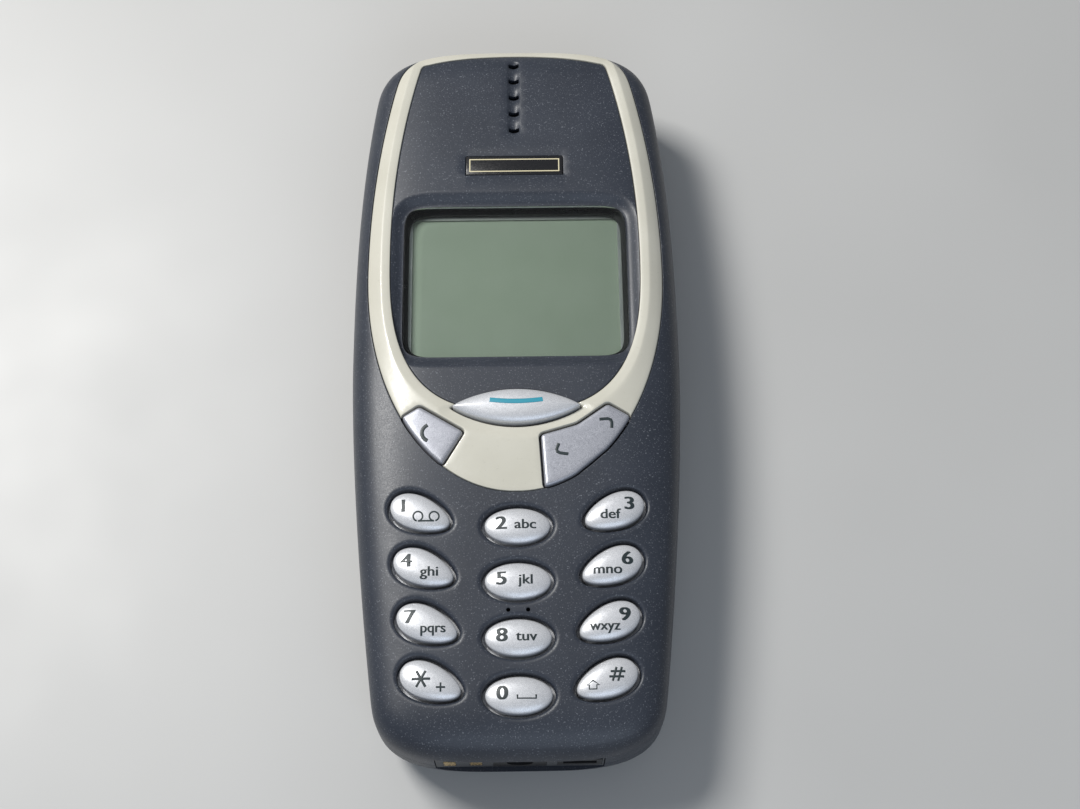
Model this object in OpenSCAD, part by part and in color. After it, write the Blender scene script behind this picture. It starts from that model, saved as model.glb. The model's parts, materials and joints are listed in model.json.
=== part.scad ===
// Early mobile phone as an assembly of its separate pieces, in millimetres.
// It lies on its back: +Z comes out of the face, +Y points to the earpiece, +X is the user's right.
// The origin is under the middle of the phone, on the plane that it rests on.

/* [Shell] */
// Length over the covers and the power button
body_l = 113; // [113:1:136]
// Width at the widest point
body_w = 48.2; // [47:0.1:58]
// How far the widest point lies above the middle
belly_y = 2; // [0:0.5:6]
// Narrowing of each side down to the bottom end
foot_taper = 4.8; // [3:0.1:6]
// Narrowing of each side up to the top end
head_taper = 4.2; // [3:0.1:6]
// Wall of the front cover
wall = 1.6; // [1.4:0.1:2]
// Wall of the back cover
back_wall = 1.3; // [1.1:0.1:1.6]
// Radius of the lengthwise curve of the face
face_r = 640; // [560:10:900]

/* [Battery and board] */
// Length of the battery
battery_l = 62; // [50:1:62]
// Width of the battery
battery_w = 36.6; // [30:0.2:36.6]
// Thickness of the battery
battery_t = 5.8; // [4.6:0.1:7.2]
// Thickness of the chassis floor between battery and board
floor_t = 1; // [0.8:0.1:1.4]
// Height of the shield cans under the board
shield_h = 1.7; // [1.4:0.1:2.4]
// Thickness of the circuit board
board_t = 1; // [0.8:0.1:1.4]

/* [Keypad] */
// Distance from one row of number keys to the next
key_pitch = 7.8; // [7:0.1:7.8]
// Height of the bottom row's outer keys above the bottom end
keypad_foot = 10.8; // [10.4:0.1:12]
// Distance from the middle to the outer keys of the top row
key_spread = 13.5; // [12.6:0.1:14]
// How much closer to the middle each lower row's outer keys are
key_step = 0.53; // [0.3:0.01:0.7]
// Half length of an outer number key
key_a = 4.35; // [3.6:0.05:4.5]
// Half height of an outer number key
key_b = 2.4; // [2:0.05:2.6]
// Travel of a key
key_travel = 0.8; // [0.5:0.05:1]
// Gap round a key
key_gap = 0.4; // [0.3:0.05:0.5]
// Thickness of the keypad mat
mat_t = 0.8; // [0.6:0.1:1.2]

/* [Display] */
// Width of the display window
window_w = 33; // [28:0.1:33.4]
// Height of the display window
window_h = 24.6; // [20:0.1:25]
// Thickness of the display window at its middle
window_t = 1.8; // [1.4:0.1:2.2]
// Thickness of the display glass
glass_t = 1.9; // [1.4:0.1:2.3]

/* [Ports] */
// Bore of the charging jack
jack_bore = 3.6; // [3.2:0.1:3.8]
// Length of the charging jack
jack_l = 6.6; // [5.5:0.1:6.6]

/* [Hidden] */
$fn = 48;

// Gaps: between pieces that are only placed together, and between a shaft and its bore
fit = 0.1;
run = 0.05;
// A length that takes a cut clear through whatever it cuts
far = 200;

// Lengthwise layout
power_proud = 0.4;
head_y = body_l / 2 - power_proud;
foot_y = -body_l / 2;
battery_y = -28.5;
battery_end = battery_y + battery_l;

// Heights, stacked up from the back
battery_z = back_wall + 0.6;
floor_z = battery_z + battery_t + 0.4;
seam_z = floor_z + 1.9;
board_z = floor_z + floor_t + 0.3 + shield_h;
board_top = board_z + board_t;
sheet_t = 0.2;
dome_h = 0.5;
dome_top = board_top + sheet_t + dome_h;
stem_z = dome_top + key_travel + run;
guide_z = board_top + sheet_t;
guide_t = 1.1;
mat_z = guide_z + guide_t;
flange_t = 0.6;
face_y = 5;
edge_fall = 1.19;
face_fall = pow(foot_y + keypad_foot - face_y, 2) / (2 * face_r) + edge_fall;
face_z = mat_z + mat_t + key_travel + flange_t + wall + face_fall;
navi_stand = 1.6;
seam_gap = 0.1;
// How much of the curved back is cut off flat, to rest on
back_flat = 0.2;

// Shape of the covers: exponents and lengths of their rounded ends and edges
blunt = 0.998;
foot_corner = 9.5;
foot_power = 3.2;
head_corner = 10.5;
head_power = 3;
front_edge = 8;
back_edge = 12;
front_power = 5;
back_power = 4.5;
front_end_power = 3;
back_end_power = 2.5;
end_steps = 9;
side_steps = 10;
section_steps = 24;

// Ring round the face: plan of its outside and inside
rim = 2.35;
ring_y = 15.6;
ring_a = body_w / 2 - rim;
ring_foot = 34.9;
ring_power = 2.08;
ring_lean = 0.0035;
ring_head = head_y - 0.7;
ring_corner = 8.9;
ring_head_power = 3.5;
panel_y = 18.6;
panel_a = ring_a - 3.25;
panel_foot = 26;
panel_power = 2.85;
panel_lean = 0.0039;
panel_head = head_y - 2.5;
panel_head_r = 49.2;
panel_corner = 1.2;
ring_proud = 0.5;
ring_depth = 0.8;
// The ring stops at this height where it rolls over the top end
ring_low = face_z - 4.8;
peg_r = 0.5;

// Insets from the widest outline: rail round the seam, floor, rib under the board, board
rail = wall + 0.3;
rail_t = 1.2;
floor_inset = wall + 0.9;
rib_inset = wall + 1.4;
rib_t = 1.3;
board_inset = wall + 1.7;

// Badge and earpiece in the face
badge_y = 32.8;
badge = [14.6, 3.2, 0.6];
slots = 5;
slot_pitch = 3.03;
slot = [1.6, 0.76];
groove_r = 1.5;
slot_y = head_y - 4.7;

// Window and display
window_y = 13.9;
window_top = face_z - 1.2;
flange_z = window_top - window_t;
gasket_t = 0.6;
frame_top = flange_z - gasket_t;
frame_w = 35;
frame_h = 30;
sheet_metal = 0.3;
glass_top = frame_top - sheet_metal;
glass_z = glass_top - glass_t;

// Keys that sit in the ring
lens_y = -6.85;
lens_a = 9.05;
lens_up = 2.5;
lens_down = 2.6;
clear_corners = [[-13.8, -6.6], [-7.7, -10.6], [-11.2, -16.2], [-18.4, -9.6]];
scroll_corners = [[3.45, -11.2], [8.6, -9.6], [13, -6.6], [17.4, -9.2], [4.1, -20.4]];
scroll_pivot = [9.6, -11.6];
scroll_dir = 32;
scroll_reach = 4.2;
clear_stem = [-12, -10.9];

// Ports in the bottom end
nose_w = 23;
nose_y = foot_y + 1.1;
nose_wall = 2.4;
jack_w = 7.2;
jack_h = 4.8;
jack_z = seam_z + 0.8;
jack_end = nose_y + jack_l;
socket_x = 8.2;
socket_w = 6;
socket_h = 3.6;
socket_l = 5.6;
pad_x = [-6, -9.6];

// Release button, card holder, screws
release_y = foot_y + 7.5;
release_r = 2.4;
release_travel = 1.2;
card = [25, 15, 0.8];
card_z = 6.5;
card_y = foot_y + 11.3;
hinge_y = card_y + card[1] + 0.7;
hinge_z = 7;
hinge_r = 0.3;
mic_at = [-7.6, foot_y + wall + 4.9];
screw_at = [
    for (side = [-1, 1])
        for (p = [[14.2, foot_y + 7.8], [18.2, -4.5], [17.6, 32]]) [side * p[0], p[1]]
];
screw_r = 0.8;

// Openings in the ends: ports in the bottom end, button in the top end
port_top = jack_z + jack_h / 2 + 0.4;
button_w = 9.6;
button_flange_w = 12;
button_low = seam_z + 1.2;
button_high = seam_z + 3.8;
button_flange_y = head_y - wall - 0.4;

// Sound, motor and aerial
speaker_y = 41.5;
speaker_r = 6.4;
speaker_h = 3.4;
motor_at = [8, 34, board_top + 2.5];
motor_r = 2;
motor_l = 8;
shaft_r = 0.4;
carrier_y = head_y - 17.4;
mic_r = 2.2;
mic_h = 1.8;
boot_r = 2.9;
boot_h = 2;

// Contacts of the battery
battery_tip_z = battery_z + 1.5;
tip_at = [-6, -2, 2, 6];

// ---- Curves of the covers ----

// Quarter of a superellipse: 1 at t = 0, nearly 0 at t = 1
function rounding(t, n) = t <= 0 ? 1 : pow(1 - pow(blunt * min(t, 1), n), 1 / n);

// Rounding towards either end at y, for a skin that lies d inside the outside
function closing(y, d, foot_l, foot_n, head_l, head_n) =
    y > 0
        ? rounding((y - head_y + head_l) / (head_l - d), head_n)
        : rounding((foot_y + foot_l - y) / (foot_l - d), foot_n);

// Half width of the body at y, before its ends are rounded
function side(y) =
    body_w / 2 - (y < belly_y
        ? foot_taper * pow((belly_y - y) / (belly_y - foot_y), 1.6)
        : head_taper * pow((y - belly_y) / (head_y - belly_y), 2.6));

function half_width(y, d = 0) =
    (side(y) - d) * closing(y, d, foot_corner, foot_power, head_corner, head_power);

// Heights of the face over the seam and of the back under it
function front_height(y, d = 0) =
    (face_z - seam_z - d - pow(y - face_y, 2) / (2 * face_r))
    * closing(y, d, front_edge, front_end_power, front_edge, front_end_power);

function back_depth(y, d = 0) =
    (seam_z + back_flat - d) * closing(y, d, back_edge, back_end_power, back_edge, back_end_power);

// Height of the front cover's skin at a point of the plan
function front_z(x, y, d = 0) =
    seam_z + front_height(y, d)
    * pow(1 - pow(min(1, abs(x) / half_width(y, d)), front_power), 1 / front_power);

// Places along Y where the skins have a section, closer together round the ends
function stations(d) =
    let (
        foot_l = max(foot_corner, back_edge),
        head_l = max(head_corner, back_edge),
        start = foot_y + foot_l,
        end = head_y - head_l
    )
    concat(
        [for (i = [end_steps:-1:1]) start - (foot_l - d) * pow(sin(i * 90 / end_steps), 0.6)],
        [for (i = [0:side_steps]) start + (end - start) * i / side_steps],
        [for (i = [1:end_steps]) end + (head_l - d) * pow(sin(i * 90 / end_steps), 0.6)]
    );

// Closed plan outline that lies d inside the widest outline
function outline(d) =
    let (ys = stations(d))
    concat(
        [for (y = ys) [half_width(y, d), y]],
        [for (i = [len(ys) - 1:-1:0]) [-half_width(ys[i], d), ys[i]]]
    );

function section_point(y, angle, w, h, n) =
    [
        w * sign(cos(angle)) * pow(abs(cos(angle)), 2 / n),
        y,
        h * pow(abs(sin(angle)), 2 / n)
    ];

// Solid between the seam plane and a skin, as sections joined along Y
module loft(ys, widths, heights, n) {
    steps = section_steps;
    ring = steps + 1;
    last = len(ys) - 1;
    points = [
        for (j = [0:last])
            for (i = [0:steps]) section_point(ys[j], i * 180 / steps, widths[j], heights[j], n)
    ];
    skin = [
        for (j = [0:last - 1])
            for (i = [0:steps - 1])
                let (a = j * ring + i, b = a + ring)
                for (f = [[a, a + 1, b + 1], [a, b + 1, b]]) f
    ];
    base = [
        for (j = [0:last - 1])
            let (a = j * ring, b = a + ring)
            for (f = [[a, b, b + steps], [a, b + steps, a + steps]]) f
    ];
    foot = [for (i = [steps:-1:0]) i];
    head = [for (i = [0:steps]) last * ring + i];
    polyhedron(points, concat(skin, base, [foot, head]), convexity = 4);
}

module front_skin(d) {
    ys = stations(d);
    translate([0, 0, seam_z])
        loft(ys, [for (y = ys) half_width(y, d)], [for (y = ys) front_height(y, d)], front_power);
}

module back_skin(d) {
    ys = stations(d);
    translate([0, 0, seam_z])
        mirror([0, 0, 1])
            loft(ys, [for (y = ys) half_width(y, d)], [for (y = ys) back_depth(y, d)], back_power);
}

// ---- Plans of the face ----

function mirrored(points) =
    concat(points, [for (i = [len(points) - 1:-1:0]) [-points[i][0], points[i][1]]]);

// Lower half of a superellipse, from the bottom middle round to its widest point
function bowl(cy, a, b, n, steps) =
    [
        for (i = [1:steps])
            let (t = i * 90 / steps) [a * pow(sin(t), 2 / n), cy - b * pow(cos(t), 2 / n)]
    ];

function ring_side(y) =
    (ring_a - ring_lean * pow(y - ring_y, 2))
    * rounding((y - ring_head + ring_corner) / ring_corner, ring_head_power);

function ring_plan(grow) =
    let (top = ring_head - ring_y, straight = top - ring_corner)
    mirrored(concat(
        bowl(ring_y, ring_a + grow, ring_foot + grow, ring_power, 12),
        [for (i = [1:5]) let (y = ring_y + straight * i / 5) [ring_side(y) + grow, y]],
        [
            for (i = [1:6])
                let (y = ring_head - ring_corner + ring_corner * pow(sin(i * 15), 0.57))
                [ring_side(y) + grow, y + grow * i / 6]
        ]
    ));

function panel_side(y) = panel_a - panel_lean * pow(y - panel_y, 2);

function panel_plan(grow) =
    let (
        corner_y = panel_head - pow(panel_a - 5.2, 2) / (2 * panel_head_r) - 1.1,
        corner_x = panel_side(corner_y) - panel_corner
    )
    mirrored(concat(
        bowl(panel_y, panel_a + grow, panel_foot + grow, panel_power, 12),
        [for (i = [1:4]) let (y = panel_y + (corner_y - panel_y) * i / 4) [panel_side(y) + grow, y]],
        [
            for (t = [20:20:60])
                [corner_x, corner_y] + (panel_corner + grow) * [cos(t), sin(t)]
        ],
        [
            for (i = [4:-1:1])
                let (x = corner_x * i / 4)
                [x, panel_head - x * x / (2 * panel_head_r) + grow]
        ]
    ));

function turned(p, angle) =
    [p[0] * cos(angle) - p[1] * sin(angle), p[0] * sin(angle) + p[1] * cos(angle)];

// Egg whose blunt end points along -X before it is turned
function egg(at, a, b, taper, angle) =
    [
        for (t = [0:15:345])
            at + turned([a * cos(t), b * sin(t) * (1 - taper * cos(t))], angle)
    ];

// Lens of the middle key: two flat arcs that meet in rounded tips
function lens(grow) =
    [
        for (t = [0:15:345])
            [
                (lens_a + grow) * cos(t),
                lens_y + sin(t) * (abs(sin(t)) + 0.25) / 1.25
                    * ((t < 180 ? lens_up : lens_down) + grow)
            ]
    ];

// Window outline with a slightly arched top and bowed sides
function window_plan(grow) =
    let (w = window_w / 2 + grow, h = window_h / 2 + grow)
    [
        for (t = [0:7.5:352.5])
            let (c = cos(t), s = sin(t))
            [
                w * sign(c) * pow(abs(c), 0.17),
                window_y + h * sign(s) * pow(abs(s), 0.17)
            ]
    ];

// ---- Number keys ----

function column(i) = i % 3 - 1;
function row(i) = floor(i / 3);
function key_at(i) =
    let (y = foot_y + keypad_foot + (3 - row(i)) * key_pitch)
    column(i) == 0
        ? [0, y - 2]
        : [column(i) * (key_spread - key_step * row(i)), y];

function key_plan(i, grow) =
    column(i) == 0
        ? egg(key_at(i), key_a + 0.2 + grow, key_b + 0.13 + grow, 0, 0)
        : egg(key_at(i), key_a + grow, key_b + grow, 0.2, column(i) < 0 ? -22 : 202);

// Height under the skin over a key's flange, whose plan is given
function flange_top(plan) = min([for (p = plan) front_z(p[0], p[1], wall)]) - fit;

// Corners moved outwards from a middle, by as much as a flange is larger than its key
function spread(corners, about) = [for (p = corners) about + 1.15 * (p - about)];

// Where a number key's stem is: above the middle of a middle key, clear of the charging jack
function number_stem(i) = key_at(i) + [0, column(i) == 0 ? 1.2 : 0];

stem_at = concat(
    [for (i = [0:11]) number_stem(i)],
    [
        [0, lens_y],
        clear_stem,
        scroll_pivot + scroll_reach * turned([1, 0], scroll_dir),
        scroll_pivot - scroll_reach * turned([1, 0], scroll_dir)
    ]
);
led_at = [
    for (x = [-6.7, 6.7])
        for (r = [0.35, 2.35]) [x, foot_y + keypad_foot - 1 + r * key_pitch]
];

// A prism from z = low to z = high
module prism(points, low, high) {
    translate([0, 0, low])
        linear_extrude(high - low)
            polygon(points);
}

// A box between two corners
module block(low, high) {
    translate(low)
        cube(high - low);
}

module post(at, r, low, high) {
    translate([at[0], at[1], low])
        cylinder(r = r, h = high - low);
}

// Cap of a key: straight sides with two rounded steps up to the crown
module crowned_cap(plans, low, shoulder, top) {
    prism(plans[0], low, shoulder);
    hull() {
        prism(plans[0], shoulder - fit, shoulder);
        prism(plans[1], top - 0.35, top - 0.3);
        prism(plans[2], top - 0.05, top);
    }
}

module key_stem(at, low, high) {
    translate([at[0], at[1], low])
        cylinder(r = 1.3, h = high - low, $fn = 12);
}

module number_key(i) {
    at = key_at(i);
    flange_plan = key_plan(i, key_gap + 0.4);
    flange = flange_top(flange_plan);
    top = front_z(at[0], at[1]) + 0.7;
    color("silver") {
        crowned_cap(
            [key_plan(i, 0), key_plan(i, -0.45), key_plan(i, -1.4)],
            flange - flange_t,
            top - 0.9,
            top
        );
        prism(flange_plan, flange - flange_t, flange);
        key_stem(number_stem(i), stem_z, flange - flange_t + fit);
    }
}

// ---- Front cover body ----

// Outline of a key in the ring, cut off by the outside of the bowl
module in_bowl(corners, grow, low, high) {
    intersection() {
        prism(ring_plan(grow), low, high);
        translate([0, 0, low])
            linear_extrude(high - low)
                offset(delta = grow)
                    polygon(corners);
    }
}

module key_hole(i) {
    at = key_at(i);
    face = front_z(at[0], at[1]);
    hull() {
        prism(key_plan(i, key_gap), face - 3, face - 0.4);
        prism(key_plan(i, key_gap + 0.35), face + 0.3, face + 2);
    }
}

module function_key_holes(grow) {
    prism(lens(grow), seam_z, far);
    in_bowl(clear_corners, grow, seam_z, far);
    in_bowl(scroll_corners, grow, seam_z, far);
}

// Gentle hollow in the face round the window
module window_recess() {
    hull() {
        prism(window_plan(0.5), window_top, window_top + fit);
        prism(window_plan(1.6), face_z, face_z + 2);
    }
}

module earpiece_openings() {
    reach = 1.8;
    translate([0, slot_y + reach, face_z])
        rotate([90, 0, 0])
            cylinder(r = groove_r, h = (slots - 1) * slot_pitch + 2 * reach);
    for (i = [0:slots - 1])
        translate([-slot[0] / 2, slot_y - i * slot_pitch - slot[1] / 2, seam_z])
            cube([slot[0], slot[1], far]);
}

// The badge's plate, or the space for it in the face
module badge_space(grow, high) {
    z = front_z(0, badge_y);
    block(
        [-badge[0] / 2 - grow, badge_y - badge[1] / 2 - grow, z - badge[2]],
        [badge[0] / 2 + grow, badge_y + badge[1] / 2 + grow, high]
    );
}

peg_at = [
    for (side = [-1, 1])
        for (y = [-1, 10, 30, 46]) [side * (ring_side(max(y, ring_y)) - (y < 5 ? 3.2 : 1.7)), y]
];

// Opening in the bottom end for the ports, and in the top end for the power button
module end_openings(grow) {
    block(
        [-nose_w / 2 - grow, foot_y - 1, floor_z - grow],
        [nose_w / 2 + grow, nose_y + nose_wall, port_top + grow]
    );
    block(
        [-button_w / 2 - grow, head_y - 5, button_low - grow],
        [button_w / 2 + grow, head_y + 2, button_high + grow]
    );
}

module front_cover() {
    color("midnightblue")
        difference() {
            union() {
                difference() {
                    front_skin(0);
                    front_skin(wall);
                }
                intersection() {
                    front_skin(fit);
                    prism(window_plan(2.4), flange_z + gasket_t + fit, face_z);
                }
            }
            block([-far, -far, seam_z - 1], [far, far, seam_z + seam_gap / 2]);
            difference() {
                prism(ring_plan(fit), ring_low - fit, far);
                prism(panel_plan(-fit), seam_z, far);
                front_skin(ring_depth + fit);
            }
            for (p = peg_at) post(p, peg_r + fit, seam_z, far);
            for (i = [0:11]) key_hole(i);
            function_key_holes(key_gap);
            window_recess();
            prism(window_plan(fit), seam_z, far);
            prism(window_plan(1.2 + fit), seam_z, flange_z + gasket_t + fit);
            badge_space(fit, far);
            earpiece_openings();
            for (side = [-1, 1]) post([side * 1.36, key_at(4)[1] - 4], 0.35, seam_z, far);
            end_openings(fit);
        }
}

module bezel_ring() {
    color("ivory") {
        difference() {
            intersection() {
                difference() {
                    front_skin(-ring_proud);
                    front_skin(ring_depth);
                }
                prism(ring_plan(0), ring_low, far);
            }
            prism(panel_plan(0), seam_z, far);
            function_key_holes(key_gap);
        }
        for (p = peg_at)
            let (z = front_z(p[0], p[1]))
            hull() {
                post(p, peg_r, z - ring_depth - 0.5, z, $fn = 16);
                post(p, peg_r - 0.2, z - wall - 0.3, z, $fn = 16);
            }
    }
}

module display_window() {
    color("lightgrey", 0.4) {
        prism(window_plan(0), flange_z, window_top);
        prism(window_plan(1.2), flange_z, flange_z + gasket_t);
    }
}

module window_gasket() {
    color("dimgray")
        difference() {
            prism(window_plan(1), frame_top, flange_z);
            prism(window_plan(-0.6), frame_top - 1, flange_z + 1);
        }
}

module badge_plate() {
    color("black")
        badge_space(0, front_z(0, badge_y) + run);
}

module navi_key() {
    flange_plan = lens(key_gap + 0.4);
    flange = flange_top(flange_plan);
    top = face_z + navi_stand;
    color("gainsboro") {
        crowned_cap([lens(0), lens(-0.5), lens(-1.5)], flange - flange_t, top - 1, top);
        prism(flange_plan, flange - flange_t, flange);
        key_stem([0, lens_y], stem_z, flange - flange_t + fit);
    }
}

module clear_key() {
    flange = flange_top(spread(clear_corners, clear_stem));
    top = front_z(12, -11) + ring_proud + 0.3;
    color("silver") {
        in_bowl(clear_corners, 0, flange - flange_t, top);
        in_bowl(clear_corners, key_gap + 0.4, flange - flange_t, flange);
        key_stem(clear_stem, stem_z, flange - flange_t + fit);
    }
}

module scroll_key() {
    flange = flange_top(spread(scroll_corners, scroll_pivot)) - 5 * fit;
    top = front_z(12, -11) + ring_proud + 0.3;
    tip = turned([scroll_reach, 0], scroll_dir);
    color("silver") {
        in_bowl(scroll_corners, 0, flange - flange_t, top);
        in_bowl(scroll_corners, key_gap + 0.2, flange - flange_t, flange);
        for (s = [-1, 1]) key_stem(scroll_pivot + s * tip, dome_top + 0.45, flange - flange_t + fit);
    }
}

// ---- Keypad parts on the board ----

// Plan of the mat and of what lies under it
function keypad_plan(d) =
    let (
        low = foot_y + keypad_foot - 4 + d,
        high = -3.6 - d,
        w = half_width(foot_y + keypad_foot, wall + 3) - d
    )
    [[-w + 1, low], [w - 1, low], [w + 1, high - 8], [w + 1, high], [-w - 1, high], [-w - 1, high - 8]];

module keypad_layer(d, low, high) {
    difference() {
        prism(keypad_plan(d), low, high);
        for (p = screw_at) post(p, screw_r + 1, low - 1, high + 1);
        post(mic_at, boot_r + 0.2, low - 1, high + 1);
        block([-jack_w / 2 - fit, -far, low - 1], [jack_w / 2 + fit, jack_end + fit, high + 1]);
    }
}

module keypad_mat() {
    color("gray")
        difference() {
            keypad_layer(0.4, mat_z, mat_z + mat_t);
            for (p = stem_at) post(p, 1.6, mat_z - 1, mat_z + mat_t + 1);
        }
}

module keypad_light_guide() {
    color("whitesmoke", 0.7)
        difference() {
            keypad_layer(0.2, guide_z, guide_z + guide_t);
            for (p = stem_at) post(p, 2.3, guide_z - 1, guide_z + guide_t + 1);
            for (p = led_at) block([p[0] - 1, p[1] - 0.6, guide_z - 1], [p[0] + 1, p[1] + 0.6, mat_z - 0.2]);
        }
}

module dome_sheet() {
    dome_r = 2;
    cap_r = (dome_r * dome_r + dome_h * dome_h) / (2 * dome_h);
    color("lightsteelblue") {
        difference() {
            keypad_layer(0, board_top, guide_z);
            for (p = led_at) block([p[0] - 1, p[1] - 0.6, guide_z - 1], [p[0] + 1, p[1] + 0.6, mat_z]);
        }
        for (p = stem_at)
            intersection() {
                translate([p[0], p[1], dome_top - cap_r])
                    sphere(r = cap_r);
                post(p, dome_r, guide_z - 0.05, dome_top + 1);
            }
    }
}

module backlight_leds() {
    color("yellow")
        for (p = led_at)
            block([p[0] - 0.8, p[1] - 0.4, board_top], [p[0] + 0.8, p[1] + 0.4, board_top + 0.7]);
}

// ---- Display ----

module display_frame() {
    low = [-frame_w / 2, window_y - frame_h / 2, board_top];
    high = [frame_w / 2, window_y + frame_h / 2, frame_top];
    inset = [sheet_metal, sheet_metal, 0];
    color("lightslategray")
        difference() {
            block(low, high);
            block(low + inset - [0, 0, 1], high - inset - [0, 0, sheet_metal]);
            block(
                [-window_w / 2 + 1.1, window_y - window_h / 2 + 0.6, board_top],
                [window_w / 2 - 1.1, window_y + window_h / 2 - 1.1, frame_top + 1]
            );
        }
}

module display_glass() {
    color("darkseagreen")
        block(
            [-frame_w / 2 + sheet_metal + fit, window_y - frame_h / 2 + sheet_metal + fit, glass_z],
            [frame_w / 2 - sheet_metal - fit, window_y + frame_h / 2 - sheet_metal - fit, glass_top]
        );
}

module display_light_guide() {
    edge = sheet_metal + 0.2;
    color("white")
        block(
            [-frame_w / 2 + edge, window_y - frame_h / 2 + 2.8, board_top],
            [frame_w / 2 - edge, window_y + frame_h / 2 - edge, glass_z]
        );
}

module zebra_connector() {
    color("dimgray")
        block(
            [-15, window_y - frame_h / 2 + 0.6, board_top],
            [15, window_y - frame_h / 2 + 2.4, glass_z]
        );
}

// ---- Chassis and board ----

module outline_wall(outside, inside, low, high) {
    difference() {
        prism(outline(outside), low, high);
        prism(outline(inside), low - 1, high + 1);
    }
}

// Spaces for the charging jack and the headset socket
module port_spaces(grow) {
    block(
        [-jack_w / 2 - grow, foot_y - 1, jack_z - jack_h / 2 - grow],
        [jack_w / 2 + grow, jack_end + grow, far]
    );
    block(
        [socket_x - socket_w / 2 - grow, foot_y - 1, jack_z - socket_h / 2 - grow],
        [socket_x + socket_w / 2 + grow, nose_y + socket_l + grow, far]
    );
}

module chassis_frame() {
    seat = 2.5;
    color("slategray")
        difference() {
            union() {
                outline_wall(rail, rail + rail_t, seam_z - seat, board_top + 0.4);
                outline_wall(rib_inset, rib_inset + rib_t, floor_z, board_z);
                prism(outline(floor_inset), floor_z, floor_z + floor_t);
                block(
                    [-nose_w / 2, nose_y, floor_z],
                    [nose_w / 2, nose_y + nose_wall, port_top]
                );
                for (side = [-1, 1])
                    let (x = battery_w / 2 + 0.3, s = side * (x + 0.6))
                    block([s - 0.6, battery_y - 0.5, seam_z - 5], [s + 0.6, battery_end, floor_z + fit]);
                for (p = screw_at) post(p, 2, floor_z, board_z);
                post([0, release_y], 2.6, floor_z - 2.8, floor_z + fit);
                for (side = [-1, 1])
                    block(
                        [side * 14.2 - 0.6, hinge_y - 1, hinge_z - 0.9],
                        [side * 14.2 + 0.6, hinge_y + 1, floor_z + fit]
                    );
            }
            for (p = screw_at) post(p, screw_r + run, floor_z + 0.6, board_z + 1);
            post([0, release_y], 1.2 + run, 0, far);
            translate([-far, hinge_y, hinge_z])
                rotate([0, 90, 0])
                    cylinder(r = hinge_r, h = 2 * far);
            block([-12.2, card_y + 0.6, 0], [12.2, card_y + card[1] - 0.6, far]);
            block([-8.2, battery_end + 0.4, 0], [8.2, battery_end + 4.4, far]);
            port_spaces(run);
            for (x = pad_x)
                block(
                    [x - 0.85, nose_y - 1, jack_z - 1.4],
                    [x + 0.85, nose_y + 0.5, jack_z + 1.4]
                );
            block([-6.6, head_y - 5, seam_z + 0.4], [6.6, head_y + 1, far]);
        }
}

module main_board() {
    color("darkgreen")
        difference() {
            prism(outline(board_inset), board_z, board_top);
            port_spaces(2 * fit);
            block([-nose_w / 2, -far, 0], [nose_w / 2, nose_y + nose_wall + fit, far]);
            for (p = screw_at) post(p, screw_r + 0.2, 0, far);
        }
}

module chassis_screws() {
    color("silver")
        for (p = screw_at) {
            post(p, screw_r, floor_z + 0.8, board_top + 0.1);
            difference() {
                post(p, 1.5, board_top, board_top + 0.9);
                translate([p[0], p[1], board_top + 0.4])
                    cylinder(r = 0.6, h = 2, $fn = 6);
            }
        }
}

// Thin can that is open towards the board
module shield_can(low, high) {
    skin = 0.25;
    difference() {
        block([low[0], low[1], board_z - shield_h], [high[0], high[1], board_z]);
        block(
            [low[0] + skin, low[1] + skin, board_z - shield_h + skin],
            [high[0] - skin, high[1] - skin, board_z + 1]
        );
    }
}

module rf_shield() {
    color("lightgray")
        shield_can([-15, 8], [15, 30]);
}

module baseband_shield() {
    color("lightgray")
        shield_can([-15, -26], [15, 5]);
}

module board_chips() {
    height = shield_h - 0.6;
    color("black")
        for (c = [[-8, 20, 9], [6, 22, 7], [6, 13, 4], [-8, -4, 9], [5, -2, 8], [-6, -18, 8], [7, -16, 6]])
            block(
                [c[0] - c[2] / 2, c[1] - c[2] / 2, board_z - height],
                [c[0] + c[2] / 2, c[1] + c[2] / 2, board_z]
            );
}

// ---- Sound, motor and aerial ----

module earpiece_speaker() {
    color("darkslategray")
        difference() {
            post([0, speaker_y], speaker_r, board_top, board_top + speaker_h);
            post([0, speaker_y], speaker_r - 1.8, board_top + speaker_h - 0.4, far);
        }
}

module earpiece_gasket() {
    low = board_top + speaker_h;
    high = front_z(0, speaker_y + speaker_r, wall) - fit;
    color("black")
        difference() {
            post([0, speaker_y], speaker_r - 0.2, low, high);
            post([0, speaker_y], speaker_r - 1.4, low - 1, high + 1);
        }
}

module buzzer() {
    color("black")
        difference() {
            block([-16, 34.6, board_top], [-8, 42.6, board_top + 3.2]);
            post([-12, 38.6], 1, board_top + 2, board_top + 4);
        }
}

module microphone() {
    color("silver")
        difference() {
            post(mic_at, mic_r, board_top, board_top + mic_h);
            post(mic_at, 0.5, board_top + mic_h - 0.4, far);
        }
}

module microphone_boot() {
    color("black")
        difference() {
            post(mic_at, boot_r, board_top, board_top + boot_h);
            post(mic_at, mic_r, board_top - 1, board_top + mic_h);
            post(mic_at, 1, board_top, far);
        }
}

module vibra_motor() {
    color("silver")
        difference() {
            union() {
                translate(motor_at)
                    rotate([0, 90, 0])
                        cylinder(r = motor_r, h = motor_l);
                block(
                    [motor_at[0] + 1, motor_at[1] - 1.8, board_top],
                    motor_at + [motor_l - 1, 1.8, -0.6]
                );
            }
            translate(motor_at - [1, 0, 0])
                rotate([0, 90, 0])
                    cylinder(r = shaft_r + run, h = 3);
        }
}

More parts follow.
